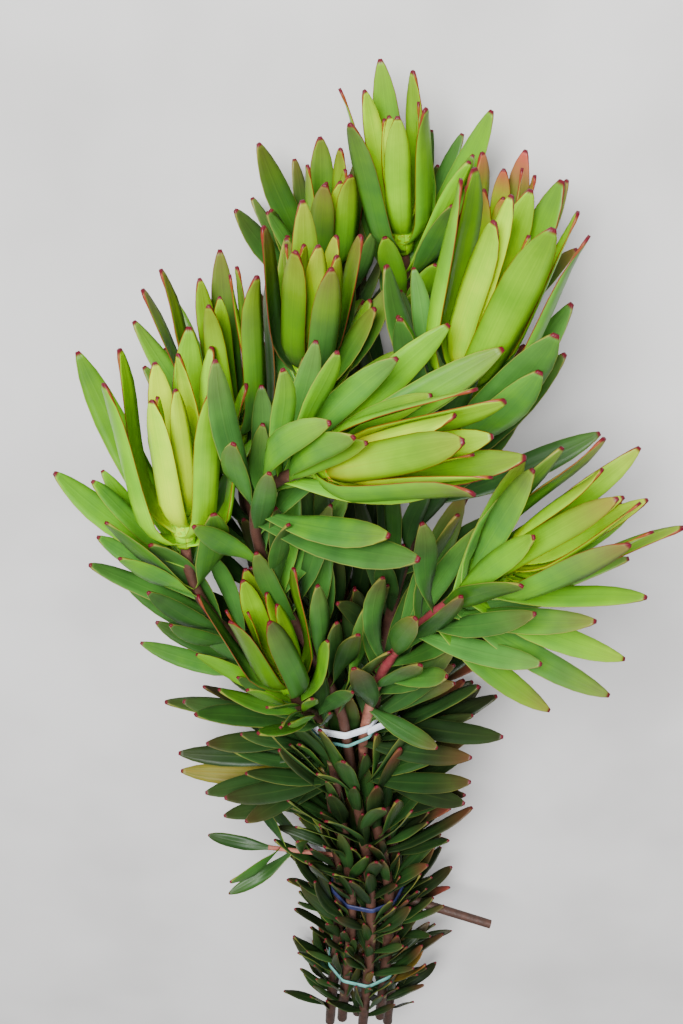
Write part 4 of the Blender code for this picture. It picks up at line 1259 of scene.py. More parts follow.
def rolled(blank, rows, half_width, curls, ripple):
    """The blank's points laid along rows, and rolled across by curls in 1/m at root and tip."""
    u = np.clip(blank[:, 1], 0.0, 1.0)
    spot = u * BLADE_STEPS
    index = np.minimum(spot.astype(int), BLADE_STEPS - 1)
    share = (spot - index)[:, None]
    lines = [np.array([row[k] for row in rows]) for k in range(3)]
    place, width, normal = (line[index] * (1.0 - share) + line[index + 1] * share for line in lines)
    curl = mix(curls[0], curls[1], np.minimum(1.0, u * CURL_SETTLES))
    turn = blank[:, 0] * half_width * curl
    side = np.sin(turn) * (1.0 / curl + blank[:, 2])
    lift = (1.0 - np.cos(turn)) / curl - blank[:, 2] * np.cos(turn)
    lift += ripple[0] * blank[:, 0] * np.sin(WAVES * u + ripple[1])
    return place + width * side[:, None] + normal * lift[:, None]


def kept_above_floor(points):
    """What would sink into the floor is pressed flat just above it."""
    sunk = points[:, 2] < FLOOR_TOUCH
    points[sunk, 2] = np.maximum(0.0, mix(FLOOR_TOUCH, points[sunk, 2], PRESSED))
    return points


def set_value(mesh, name, values):
    """A number for each point, or one for all of them, which a material reads."""
    made = mesh.attributes.new(name, "FLOAT", "POINT")
    spread = np.broadcast_to(np.float32(values), len(mesh.vertices))
    made.data.foreach_set("value", spread.copy())


def own_copy(blank, points, values):
    """A copy of a blank with its own mesh, its points placed and its numbers written."""
    piece = blank.copy()
    piece.data = blank.data.copy()
    bpy.context.scene.collection.objects.link(piece)
    piece.data.vertices.foreach_set("co", points.astype(np.float32).ravel())
    for name, value in values.items():
        set_value(piece.data, name, value)
    return piece


def joined(name, pieces):
    """Joins pieces into the first of them, and names it."""
    select_only(*pieces)
    if len(pieces) > 1:
        bpy.ops.object.join()
    whole = bpy.context.object
    whole.name = name
    whole.data.name = name
    whole.data.update()
    select_only()
    return whole


# %% [markdown]
# ## Looks of each shoot
#
# The shoots differ in ripeness. On the brightest the bracts are yellow-green,
# on others green with pink tips, and one is still small and reddish. The age
# shifts all bracts of a head from yellow (0) to green (1), and "base" only
# their bases: a positive shift there is painted shade at the cup's base, a
# negative one a yellower base. "blush" is how far the red comes down from the
# tips, "warm" tints the innermost bracts orange, and the brightness is how
# bright they are, lower as painted shade on the heads deeper in the bunch.
# "leaf" shifts the age of the leaves below. One colour for each head would
# be simpler, but numbers that go into one ramp keep the heads of one kind.

# %% Looks of each head
LOOK_KEYS = ("age_and_shade", "base", "blush", "warm", "light", "leaf")
LOOK_ROWS = {
    "left": (-0.03, -0.06, 0.10, 0.0, 0.48, 0.00),
    "left_back": (0.14, 0.28, 0.35, 0.0, 0.25, 0.06),
    "centre_back": (0.04, 0.42, 0.60, 0.15, 0.15, 0.05),
    "top": (0.05, 0.10, 0.25, 0.0, 0.5, 0.02),
    "right": (0.02, -0.04, 0.12, 0.0, 0.42, 0.14),
    "right_back": (0.10, 0.10, 1.50, 0.0, 0.4, 0.12),
    "centre": (0.03, -0.02, 0.30, 1.1, 0.4, 0.02),
    "far_right": (0.09, -0.06, 0.60, 0.1, 0.5, 0.03),
    "front_left": (0.14, 0.10, 0.20, 0.1, 0.15, 0.04),
    "back": (0.10, 0.25, 0.45, 0.0, 0.4, 0.08),
}
HEAD_LOOKS = {name: dict(zip(LOOK_KEYS, row)) for name, row in LOOK_ROWS.items()}
# Painted shade: how deep a spot lies in the bunch, measured from these heights, makes the leaves there
# older and dimmer and darkens the stems.
DEEP_HEIGHTS = (0.032, 0.095)
HEADS_START = 0.10
HEADS_FALL = 0.05
HEADS_REACH = 0.10
BASE_REACH = 0.7
OUTER_AGE = (0.04, 0.40)
UPPER_AGE = (0.62, 0.42)
# Below the tie leaves are older, and darker partly as painted shade.
LOW_AGE_AND_SHADE = (0.77, 0.92)
DEEP_SHADE_AGE = 0.25
DEEP_SHADE = 0.5
YELLOWED = 0.03
AGE_VARY = dict(bract=(-0.04, 0.05), upper=(-0.12, 0.08), low=(-0.16, 0.08))
BLUSH_VARY = dict(bract=(0.7, 1.2), leaf=(0.2, 0.8))
TINT_VARY = (-0.25, 0.25)
YELLOW = (0.05, 0.2)
WARM_END = 0.9
WARM_POWER = 1.5

bract_points = read_points(blank_bract.data)
leaf_points = read_points(blank_leaf.data)


def shade_depth_share(y, z):
    """Share of painted shade: 1 deep in the bunch and 0 near its upper side, which falls away beyond the
    middle heads.
    """
    level = z + HEADS_FALL * smooth((y - HEADS_START) / HEADS_REACH)
    return 1.0 - smooth((level - DEEP_HEIGHTS[0]) / (DEEP_HEIGHTS[1] - DEEP_HEIGHTS[0]))


def bract_values(look, blade, rng):
    """A bract's numbers: outer bracts are older and greener than inner ones."""
    share = blade["share"]
    near_base = 1.0 - np.clip(bract_points[:, 1] / BASE_REACH, 0.0, 1.0)
    age_and_shade = look["age_and_shade"] + mix(*OUTER_AGE, max(0.0, share)) + rng.uniform(*AGE_VARY["bract"])
    return dict(
        # A positive base shift is painted shade at the cup's base, a negative one a yellower base.
        age_and_shade=age_and_shade + look["base"] * near_base,
        blush=look["blush"] * rng.uniform(*BLUSH_VARY["bract"]),
        warm=look["warm"] * max(0.0, WARM_END - share) * near_base ** WARM_POWER,
        # The head's brightness, lower on heads deeper in the bunch, is painted shade.
        tone_and_shade=look["light"] + rng.uniform(*TINT_VARY),
    )


def leaf_values(look, blade, place, rng):
    """A leaf's numbers: young near the head, older below the tie, which is partly painted shade there, and
    older and dimmer deep in the bunch as painted shade.
    """
    # Deep in the bunch a leaf is made older and dimmer, as painted shade.
    deep_shade = shade_depth_share(place.y, place.z)
    warm = 0.0
    if blade["below"] < 0.0:
        age_and_shade = mix(*UPPER_AGE, blade["near"]) + rng.uniform(*AGE_VARY["upper"]) + DEEP_SHADE_AGE * deep_shade
    else:
        age_and_shade = mix(*LOW_AGE_AND_SHADE, blade["below"]) + rng.uniform(*AGE_VARY["low"])
        if rng.random() < YELLOWED:
            warm = rng.uniform(*YELLOW)
    return dict(
        age_and_shade=age_and_shade + look["leaf"],
        blush=look["blush"] * rng.uniform(*BLUSH_VARY["leaf"]),
        warm=warm,
        tone_and_shade=rng.random() * (1.0 - DEEP_SHADE * deep_shade) - DEEP_SHADE * deep_shade,
    )


# %% [markdown]
# ## Bracts and leaves
#
# Each blade is now bent and given its numbers. They stay apart until they have
# their finish, and are then joined, so that a head is one object, as the
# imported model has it.

# %% Bend all blades
BRACT_CURL = (1 / 0.0078, 1 / 0.015)
LEAF_CURL = (1 / 0.010, 1 / 0.035)
BRACT_RIPPLE = 0.0003
LEAF_RIPPLE = 0.0005
BUD_TIGHTER = 1.25
BRACT_CURL_VARY = (0.85, 1.15)
LEAF_CURL_VARY = (0.5, 1.2)


def bent_blade(node, rows, blade, look, rng):
    """A bent copy of the blank leaf or bract, with its numbers."""
    half_width = blade["width"] / 2
    phase = rng.uniform(0.0, math.tau)
    if node.startswith("head_"):
        tight = 1.0 if blade["share"] >= 0.0 else BUD_TIGHTER
        curls = [curl * tight * rng.uniform(*BRACT_CURL_VARY) for curl in BRACT_CURL]
        points = rolled(bract_points, rows, half_width, curls, (BRACT_RIPPLE, phase))
        return own_copy(blank_bract, kept_above_floor(points), bract_values(look, blade, rng))
    curls = [curl * rng.uniform(*LEAF_CURL_VARY) for curl in LEAF_CURL]
    points = rolled(leaf_points, rows, half_width, curls, (LEAF_RIPPLE, phase))
    values = leaf_values(look, blade, rows[len(rows) // 2][0], rng)
    return own_copy(blank_leaf, kept_above_floor(points), values)


blades_of = {}
for node, blades in grown.items():
    look = HEAD_LOOKS[node.removeprefix("head_").removeprefix("leafy_stem_")]
    rng = random.Random("blades of " + node)
    blades_of[node] = [bent_blade(node, rows, blade, look, rng) for rows, blade in blades]
print(sum(len(pieces) for pieces in blades_of.values()), "blades bent")

# %% [markdown]
# ## Stems
#
# A stem is a thin woody rod, a little swollen where each leaf grows from it,
# with a scar below. One straight rod is modelled: a cylinder whose sides are
# cut into rings. Each stem is a copy of it, laid along the shoot's line ring
# by ring. A bevelled curve would be quicker, but its rings could not swell
# at the leaves.

# %% Blank rod
ROD_SIDES = 12
ROD_RINGS = 150


def runs_along(edge, axis):
    """Whether an edge of a piece one unit long runs its whole length."""
    return abs(edge.verts[0].co[axis] - edge.verts[1].co[axis]) > 0.5


def cut_across(obj, axis, cuts):
    """Divides all edges along an axis, which cuts the piece into rings."""
    bpy.ops.object.mode_set(mode="EDIT")
    bpy.ops.mesh.select_mode(type="EDGE")
    bpy.ops.mesh.select_all(action="DESELECT")
    select_where(obj, "edges", lambda edge: runs_along(edge, axis))
    bpy.ops.mesh.subdivide(number_cuts=cuts)
    bpy.ops.object.mode_set(mode="OBJECT")


def blank_rod(name, sides, rings):
    """An upright rod from 0 to 1 with radius 1, cut into rings."""
    select_only()
    bpy.ops.mesh.primitive_cylinder_add(
        vertices=sides, radius=1.0, depth=1.0, location=(0.0, 0.0, 0.5), calc_uvs=True
    )
    rod = bpy.context.object
    rod.name = name
    bpy.ops.object.transform_apply(location=True, rotation=False, scale=False)
    cut_across(rod, 2, rings - 1)
    bpy.ops.object.shade_smooth_by_angle(angle=math.radians(50))
    print(name, len(rod.data.polygons), "faces")
    return rod


rod = blank_rod("blank_rod", ROD_SIDES, ROD_RINGS)
rod_points = read_points(rod.data)

# %% Lay the rod along each stem
NODE_REACH = 0.0022
NODE_SWELL = 0.00045
BARE_STEM = "far_right"
# Painted shade on the stems: all but the bare one are darkened where leaves hide them, and all of them
# where they lie deep in the bunch.
HIDDEN_SHADE = 0.75
HIDDEN_START = 0.8
HIDDEN_REACH = 0.03
DEEP_STEM_SHADE = 0.9
WOOD_START = 0.55
TWIG_WOODY = dict(thin=0.35, thick=0.9)
THIN_TWIG = 0.002
ROD_SHARES = [k / ROD_RINGS for k in range(ROD_RINGS + 1)]


def rod_along(points, ways, radii, nodes, values):
    """A copy of the rod whose rings follow points, swollen near the given leaf roots."""
    last = len(points) - 1
    rings = np.clip(np.rint(rod_points[:, 2] * last).astype(int), 0, last)
    places, directions = np.array(points), np.array(ways)
    side = np.cross(directions, (0.0, 0.0, 1.0))
    side /= np.linalg.norm(side, axis=1)[:, None]
    lift = np.cross(side, directions)
    spokes = side[rings] * rod_points[:, :1] + lift[rings] * rod_points[:, 1:2]
    laid = places[rings] + spokes * np.array(radii)[rings][:, None]
    near = np.zeros(len(laid))
    for node in nodes:
        gap = np.linalg.norm(laid - np.array(node), axis=1)
        near = np.maximum(near, np.exp(-((gap / NODE_REACH) ** 2)))
    laid += spokes * (NODE_SWELL * near)[:, None]
    return own_copy(rod, kept_above_floor(laid), dict(values, leaf_root=near))


def leaf_roots(name, stem):
    """Where the leaves of a stem leave its surface."""
    roots = []
    for rows, blade in grown["leafy_stem_" + name]:
        if "distance" in blade:
            way = (rows[2][0] - rows[0][0]).normalized()
            roots.append(rows[0][0] + way * stem.radius(blade["distance"]))
    return roots


def stem_rod(name, stem):
    """A stem's rod: brown wood low down, and dark brown as painted shade deep in the bunch and where leaves
    hide it.
    """
    marks = [stem.length * k / ROD_RINGS for k in range(ROD_RINGS + 1)]
    line = [stem.at(mark) for mark in marks]
    rng = random.Random("bark of " + name)
    radii = [stem.radius(mark) + rng.uniform(-BARK_RIPPLE, BARK_RIPPLE) for mark in marks]
    down = np.clip(rod_points[:, 2], 0.0, 1.0)
    start = WOOD_START * (stem.passes(WAIST.y) / stem.length)
    wood_and_shade = np.clip((down - start) / (1.0 - start), 0.0, 1.0)
    # Painted shade: deep in the bunch, and on every stem but the bare one where leaves hide it, the bark is
    # pushed to dark brown.
    shade_depths = [shade_depth_share(place.y, place.z) for place, _ in line]
    wood_and_shade = np.maximum(wood_and_shade, DEEP_STEM_SHADE * np.interp(down * stem.length, marks, shade_depths))
    if name != BARE_STEM:
        hidden_shade = np.clip(down * stem.length / HIDDEN_REACH + HIDDEN_START, 0.0, 1.0)
        wood_and_shade = np.maximum(wood_and_shade, HIDDEN_SHADE * hidden_shade)
    points = [place for place, _ in line]
    ways = [-way for _, way in line]
    values = dict(wood_and_shade=wood_and_shade, tone_and_shade=rng.random())
    return rod_along(points, ways, radii, leaf_roots(name, stem), values)


def twig_rod(ends, radii):
    """A straight side branch, from its root to its end."""
    points = [mix(*ends, share) for share in ROD_SHARES]
    ways = [(ends[1] - ends[0]).normalized()] * len(points)
    thick = [mix(*radii, share) for share in ROD_SHARES]
    wood_and_shade = TWIG_WOODY["thin" if radii[0] < THIN_TWIG else "thick"]
    return rod_along(points, ways, thick, [], dict(wood_and_shade=wood_and_shade, tone_and_shade=0.5))


rods_of = {"leafy_stem_" + name: [stem_rod(name, stem)] for name, stem in stems.items()}
for name, branches in twigs.items():
    rods_of["leafy_stem_" + name] += [twig_rod(*branch) for branch in branches]
print(sum(len(rods) for rods in rods_of.values()), "stems and branches")

# %% [markdown]
# ## Cones
#
# In the middle of each cup sits a small cone of overlapping scales. One scale
# is a low four-sided cone primitive, pulled in edit mode into a leaning
# pointed flake. Copies go round the cone's plain body at the golden angle.
# It could be sculpted, but a spiral is how the real one grows.

# %% Blank scale and cone body
SCALES = 44
SCALE_SIZE = 0.0034
SCALE_LEAN = (0.55, 0.12)
SCALE_SHRINKS = (1.0, 0.62)
FIRST_SCALE = 0.35
SCALE_SUNK = 0.92
SCALE_DROP = 0.4
SCALE_TAPER = 0.16
SCALE_FLATTENED = (1.25, 0.45, 1.0)
SCALE_TIP_OUT = -0.12
SCALE_AGES = (0.25, -0.05)
SCALE_BLUSH = 0.4
BODY_AGE = 0.2
BODY_HEIGHTS = (0.12, 0.97)
BODY_CLOSING = 0.96
BODY_RADIUS = 0.84
BODY_POWER = 2.4


def blank_scale():
    """A leaning flake 1 high: a four-sided cone, flattened and bent outwards at its tip."""
    select_only()
    bpy.ops.mesh.primitive_cone_add(
        vertices=4, radius1=0.5, radius2=SCALE_TAPER, depth=1.0, location=(0, 0, 0.5)
    )
    scale = bpy.context.object
    scale.name = "blank_scale"
    bpy.ops.object.transform_apply(location=True, rotation=False, scale=False)
    bpy.ops.object.mode_set(mode="EDIT")
    bpy.ops.mesh.select_all(action="SELECT")
    bpy.ops.transform.resize(value=SCALE_FLATTENED)
    bpy.ops.mesh.select_all(action="DESELECT")
    select_where(scale, "verts", lambda vert: vert.co.z > 0.9)
    bpy.ops.transform.translate(value=(0.0, SCALE_TIP_OUT, 0.0))
    bpy.ops.object.mode_set(mode="OBJECT")
    return scale


def cone_surface(share):
    """Radius and height of the cone's body, from its foot to its top."""
    height = CONE_HEIGHT * mix(*BODY_HEIGHTS, share)
    closed = math.sqrt(max(0.0, 1.0 - (share * BODY_CLOSING) ** BODY_POWER))
    return CONE_RADIUS * BODY_RADIUS * closed, height


def cone_pieces(name, shoot, look):
    """The cone's body and its scales, as separate copies."""
    base, along = head_place(shoot)
    upright = np.array(along.to_track_quat("Z", "Y").to_matrix())
    body = new_object("cone_body", cone_mesh(base, along))
    body.data.uv_layers.new(name="blade")
    for label, value in dict(age_and_shade=look["age_and_shade"] + BODY_AGE, blush=0.0, warm=0.0, tone_and_shade=0.5).items():
        set_value(body.data, label, value)
    pieces = [body]
    rng = random.Random("cone of " + name)
    for i in range(SCALES):
        share = mix(FIRST_SCALE, 1.0, i / (SCALES - 1))
        radius, height = cone_surface(share)
        turn = i * GOLDEN_ANGLE
        outward = Vector((math.cos(turn), math.sin(turn), 0.0))
        way = (Vector((0.0, 0.0, 1.0)) + outward * mix(*SCALE_LEAN, share)).normalized()
        across = way.cross(outward).normalized()
        axes = np.array((across, across.cross(way) * -1.0, way))
        size = SCALE_SIZE * mix(*SCALE_SHRINKS, share) * rng.uniform(0.9, 1.1)
        local = scale_points @ (axes * size)
        raised = Vector((0.0, 0.0, height - size * SCALE_DROP))
        local += np.array(outward * radius * SCALE_SUNK + raised)
        age_and_shade = look["age_and_shade"] + mix(*SCALE_AGES, share)
        values = dict(age_and_shade=age_and_shade, blush=SCALE_BLUSH, warm=look["warm"], tone_and_shade=rng.random())
        pieces.append(own_copy(scale, local @ upright.T + np.array(base), values))
    return pieces


scale = blank_scale()
scale_points = read_points(scale.data)
for name, shoot in SHOOTS.items():
    blades_of["head_" + name] += cone_pieces(name, shoot, HEAD_LOOKS[name])
print(SCALES * len(SHOOTS), "scales on", len(SHOOTS), "cones")

# %% [markdown]
# ## Ties
#
# A narrow pale strap gathers the stems at the waist and ends in a short tail
# with a dark end. Rubber bands hold them below. Each is a ring of points round
# the stems, extruded by its width in edit mode, given its thickness with
# Solidify, and rounded with Bevel. They could be plain torus shapes, but the
# real ones are pulled tight round the bundle and follow it.

# %% Rings round the stems
FINE_TIE_SIDES = 24
TIE_SPACING = 0.0012
STRAP_ROUNDING = 0.00012
BAND_ROUNDING = 0.42
RING_RADIUS = 0.02
SHARP_ANGLE = 60


def evenly(outline, spacing):
    """A closed outline with its long sides divided."""
    points = []
    for a, b in zip(outline, outline[1:] + outline[:1]):
        steps = max(1, round(math.dist(a, b) / spacing))
        points += [tuple(mix(a[k], b[k], i / steps) for k in (0, 1)) for i in range(steps)]
    return points


def face_outwards():
    """In edit mode, selects all and turns every face outwards."""
    bpy.ops.mesh.select_all(action="SELECT")
    bpy.ops.mesh.normals_make_consistent(inside=False)


def round_edges(obj, width, angle):
    apply_modifier(
        obj, "BEVEL", width=width, segments=2, limit_method="ANGLE", angle_limit=math.radians(angle)
    )


def strap(name, outline, tie, rounding):
    """A ring extruded along Y by the tie's width, thickened outwards and with round edges."""
    select_only()
    bpy.ops.mesh.primitive_circle_add(
        vertices=len(outline), radius=RING_RADIUS, rotation=(math.pi / 2, 0, 0), calc_uvs=False
    )
    ring = bpy.context.object
    ring.name = name
    bpy.ops.object.transform_apply(location=True, rotation=True, scale=True)
    middle = np.mean(np.array(outline), axis=0)
    corners = sorted(ring.data.vertices, key=lambda v: math.atan2(v.co.z, v.co.x))
    ordered = sorted(outline, key=lambda p: math.atan2(p[1] - middle[1], p[0] - middle[0]))
    for corner, (x, z) in zip(corners, ordered):
        corner.co = (x, tie["at"] - tie["width"] / 2, z)
    bpy.ops.object.mode_set(mode="EDIT")
    bpy.ops.mesh.select_all(action="SELECT")
    bpy.ops.mesh.extrude_region_move(TRANSFORM_OT_translate={"value": (0.0, tie["width"], 0.0)})
    face_outwards()
    bpy.ops.object.mode_set(mode="OBJECT")
    outward = sum(
        face.normal.dot(face.center - Vector((middle[0], face.center.y, middle[1])))
        for face in ring.data.polygons
    )
    apply_modifier(
        ring, "SOLIDIFY", thickness=tie["thickness"], offset=math.copysign(1.0, outward),
        use_even_offset=True,
    )
    round_edges(ring, rounding, SHARP_ANGLE)
    bpy.ops.object.mode_set(mode="EDIT")
    face_outwards()
    bpy.ops.object.mode_set(mode="OBJECT")
    bpy.ops.object.shade_smooth()
    return ring


tie_pieces = {}
for name, tie in TIES.items():
    outline = evenly(tie_outline(tie, FINE_TIE_SIDES, fine=True), TIE_SPACING)
    rounding = STRAP_ROUNDING if name == "upper_tie" else tie["thickness"] * BAND_ROUNDING
    tie_pieces[name] = strap(name + "_fine", outline, tie, rounding)
    print(name, len(outline), "points round,", len(tie_pieces[name].data.polygons), "faces")

# %% [markdown]
# ## The strap's tail
#
# What is left of the strap stands off to one side, with a dark piece at its
# end. Each is a cube cut across, so that the tail can sag a little.

# %% The tail and its dark end
TAIL_CUTS = 8
TAIL_SAG = 0.0006
END_CUTS = 3
END_ROUNDING = 0.0005
BAR_SHARP_ANGLE = 50


def tail_bar(name, centre, size, cuts, sag, rounding):
    """A flat bar with its length along the tail, cut across so that it can curl, edges rounded."""
    select_only()
    bpy.ops.mesh.primitive_cube_add(size=1.0)
    bar = bpy.context.object
    bar.name = name
    cut_across(bar, 0, cuts)
    points = read_points(bar.data)
    curl = sag * (2.0 * points[:, 0]) ** 2
    placed = np.array(centre) + points[:, :1] * size[0] * np.array(tail_way)
    placed += points[:, 1:2] * size[1] * np.array(tail_up.cross(tail_way))
    placed += (points[:, 2] * size[2] + curl)[:, None] * np.array(tail_up)
    bar.data.vertices.foreach_set("co", placed.astype(np.float32).ravel())
    round_edges(bar, rounding, BAR_SHARP_ANGLE)
    bpy.ops.object.shade_smooth()
    return bar


fine_outline = tie_outline(TIES["upper_tie"], FINE_TIE_SIDES, fine=True)
middle, beyond, tail_way, tail_up = tail_places(fine_outline, TIES["upper_tie"])
beyond += tail_up * TAIL_SAG
tie_pieces["tie_tail"] = tail_bar(
    "tie_tail_fine", middle, tie_size(TAIL), TAIL_CUTS, TAIL_SAG, STRAP_ROUNDING
)
tie_pieces["tie_end"] = tail_bar(
    "tie_end_fine", beyond, tie_size(TAIL_END), END_CUTS, 0.0, END_ROUNDING
)
for part, tie in (("tail", TAIL), ("dark end", TAIL_END)):
    print(part, round(tie["length"] * 1000, 1), "mm long")

# %% [markdown]
# ## Node groups
#
# Leaves, bracts and cones share one skin: its colour goes with age, which also
# carries painted shade deep in the bunch, it has faint lengthwise veins, a pale
# midrib, a thin red margin and a red tip. That is one group with inputs for
# each use. A second, a fine mottle, goes into every material, so that no
# surface is one flat colour.

# %% Helpers for node trees
def add_node(tree, kind, label="", **settings):
    made = tree.nodes.new(kind)
    made.label = label
    for key, value in settings.items():
        setattr(made, key, value)
    return made


def set_inputs(node, **values):
    for key, value in values.items():
        node.inputs[key.replace("_", " ")].default_value = value
    return node


def feed(tree, socket, value):
    """Gives a socket a number, a colour, or what another socket puts out."""
    if isinstance(value, (int, float)):
        socket.default_value = value
    elif isinstance(value, tuple):
        socket.default_value = (*value, 1.0)
    else:
        tree.links.new(value, socket)


def maths(tree, operation, *values):
    """A Math node with numbers or other sockets as its inputs. Returns its output."""
    made = add_node(tree, "ShaderNodeMath", operation=operation)
    for socket, value in zip(made.inputs, values):
        feed(tree, socket, value)
    return made.outputs[0]


def total(tree, *values):
    """The sum of several values, added one by one."""
    whole = values[0]
    for value in values[1:]:
        whole = maths(tree, "ADD", whole, value)
    return whole


def product(tree, *values):
    whole = values[0]
    for value in values[1:]:
        whole = maths(tree, "MULTIPLY", whole, value)
    return whole


def about_half(tree, value, reach):
    """A value from 0 to 1 turned into a shift to both sides of nothing."""
    return product(tree, maths(tree, "SUBTRACT", value, 0.5), reach)


def ramp_share(tree, value, start, end, low=0.0, high=1.0):
    """A soft step: low before start, high after end."""
    made = add_node(tree, "ShaderNodeMapRange", interpolation_type="SMOOTHSTEP")
    labels = ("Value", "From Min", "From Max", "To Min", "To Max")
    for label, given in zip(labels, (value, start, end, low, high)):
        feed(tree, made.inputs[label], given)
    return made.outputs["Result"]


def mixed(tree, share, a, b, blend="MIX"):
    """A colour between a and b, each a socket or three numbers."""
    made = add_node(tree, "ShaderNodeMix", data_type="RGBA", blend_type=blend)
    for index, value in ((0, share), (6, a), (7, b)):
        feed(tree, made.inputs[index], value)
    return made.outputs[2]


def ramp_colour(tree, value, stops):
    """The colour of a ramp, given as (place, colour) stops, at a value."""
    made = add_node(tree, "ShaderNodeValToRGB")
    elements = made.color_ramp.elements
    while len(elements) < len(stops):
        elements.new(0.5)
    for element, (place, colour) in zip(elements, stops):
        element.position = place
        element.color = (*colour, 1.0)
    feed(tree, made.inputs["Fac"], value)
    return made.outputs["Color"]


def read_number(tree, name):
    """A number that the pieces carry for each point."""
    made = add_node(tree, "ShaderNodeAttribute", attribute_type="GEOMETRY", attribute_name=name)
    return made.outputs["Fac"]


def new_group(name, inputs, outputs):
    """An empty group with named number inputs and outputs. Returns it and its two ends."""
    group = bpy.data.node_groups.new(name, "ShaderNodeTree")
    for label, value in inputs.items():
        socket = group.interface.new_socket(label, in_out="INPUT", socket_type="NodeSocketFloat")
        socket.default_value = value
    for label, kind in outputs.items():
        group.interface.new_socket(label, in_out="OUTPUT", socket_type=kind)
    given = group.nodes.new("NodeGroupInput").outputs
    return group, given, group.nodes.new("NodeGroupOutput").inputs


FLOAT, COLOUR = "NodeSocketFloat", "NodeSocketColor"

# %% Mottle
def mottle_group():
    """Soft blotches and fine grain, both 0 to 1, from Object coordinates."""
    group, given, result = new_group(
        "mottle", {"Blotch Scale": 60.0, "Grain Scale": 900.0}, {"Blotch": FLOAT, "Grain": FLOAT}
    )
    place = add_node(group, "ShaderNodeTexCoord").outputs["Object"]
    for label, detail in (("Blotch", 3.0), ("Grain", 2.0)):
        noise = add_node(group, "ShaderNodeTexNoise", label)
        noise.inputs["Detail"].default_value = detail
        group.links.new(place, noise.inputs["Vector"])
        group.links.new(given[label + " Scale"], noise.inputs["Scale"])
        group.links.new(noise.outputs["Fac"], result[label])
    return group


mottle = mottle_group()


def mottled(tree, **scales):
    """The two outputs of a mottle node: soft blotches, and fine grain."""
    made = set_inputs(add_node(tree, "ShaderNodeGroup", node_tree=mottle), **scales)
    return made.outputs["Blotch"], made.outputs["Grain"]


# %% [markdown]
# ## Skin of the blades
#
# Young bracts are yellow-green and old leaves dark green, so one colour ramp
# over age gives both. The same ramp also gives painted shade, where the age is
# raised deep in the bunch, partly below the tie and at shaded cup bases, and a
# tone number dims each blade at random and as painted shade. Red then comes
# over it from the tip and the margin. A painted picture could do this too, but
# here each blade differs by its own numbers.

# %% Skin of leaves and bracts
# Colour over age; its darker end is also painted shade where the age is raised deep in the bunch, below the
# tie and at shaded cup bases.
SKIN_AGE_AND_SHADE = (
    (0.00, (0.49, 0.70, 0.0)),
    (0.15, (0.26, 0.56, 0.0)),
    (0.35, (0.115, 0.33, 0.002)),
    (0.55, (0.052, 0.175, 0.024)),
    (0.75, (0.027, 0.085, 0.018)),
    (1.00, (0.018, 0.036, 0.012)),
)
TIP_RED = (0.085, 0.004, 0.010)
MARGIN_RED = (0.16, 0.014, 0.010)
BLUSH_RED = (0.38, 0.050, 0.048)
WARM_ORANGE = (0.70, 0.34, 0.02)
PALE_RIB = (0.40, 0.62, 0.10)
EDGE_GREEN = (0.45, 0.60, 0.08)
VEIN_STRETCH = (22.0, 1.6, 1.0)

# Shifts of the age, then ramps: from, to, and the values there where they aren't 0 and 1
BLOTCH_SHIFT, VEIN_SHIFT = 0.34, 0.16
SHIFT_ALONG = (0.0, 0.9)
TINT_SHADES = (-0.6, 1.2, 0.32, 1.20)
RIB_ACROSS = (0.02, 0.12, 1.0, 0.0)
RIB_ALONG = (0.35, 0.95, 1.0, 0.0)
WARM_VEINS = (0.3, 0.65, 0.5, 1.0)
RIM_ACROSS = (0.95, 1.0)
RIM_FADES = (0.5, 0.9, 1.0, 0.12)
BLUSH_ALONG = (0.45, 1.0)
BLUSH_MOST = 0.55
MARGIN_ALONG = (0.05, 0.45, 0.25, 1.0)
TIP_EDGE = (-0.02, 0.025)
RIDGE_ACROSS = (0.0, 0.16, 1.0, 0.0)
ROUGH_LEAST, ROUGH_GRAIN = 0.30, 0.16


def skin_map(group):
    """How far a spot is from the midrib, how far along the blade, and its lengthwise veins."""
    flat = add_node(group, "ShaderNodeUVMap", uv_map="blade").outputs["UV"]
    parts = add_node(group, "ShaderNodeSeparateXYZ")
    group.links.new(flat, parts.inputs[0])
    doubled = maths(group, "MULTIPLY", parts.outputs["X"], 2.0)
    across = maths(group, "ABSOLUTE", maths(group, "SUBTRACT", doubled, 1.0))
    stretch = add_node(group, "ShaderNodeMapping")
    stretch.inputs["Scale"].default_value = VEIN_STRETCH
    group.links.new(flat, stretch.inputs["Vector"])
    streaks = set_inputs(add_node(group, "ShaderNodeTexNoise"), Scale=1.0, Detail=2.0)
    group.links.new(stretch.outputs["Vector"], streaks.inputs["Vector"])
    return across, parts.outputs["Y"], streaks.outputs["Fac"]


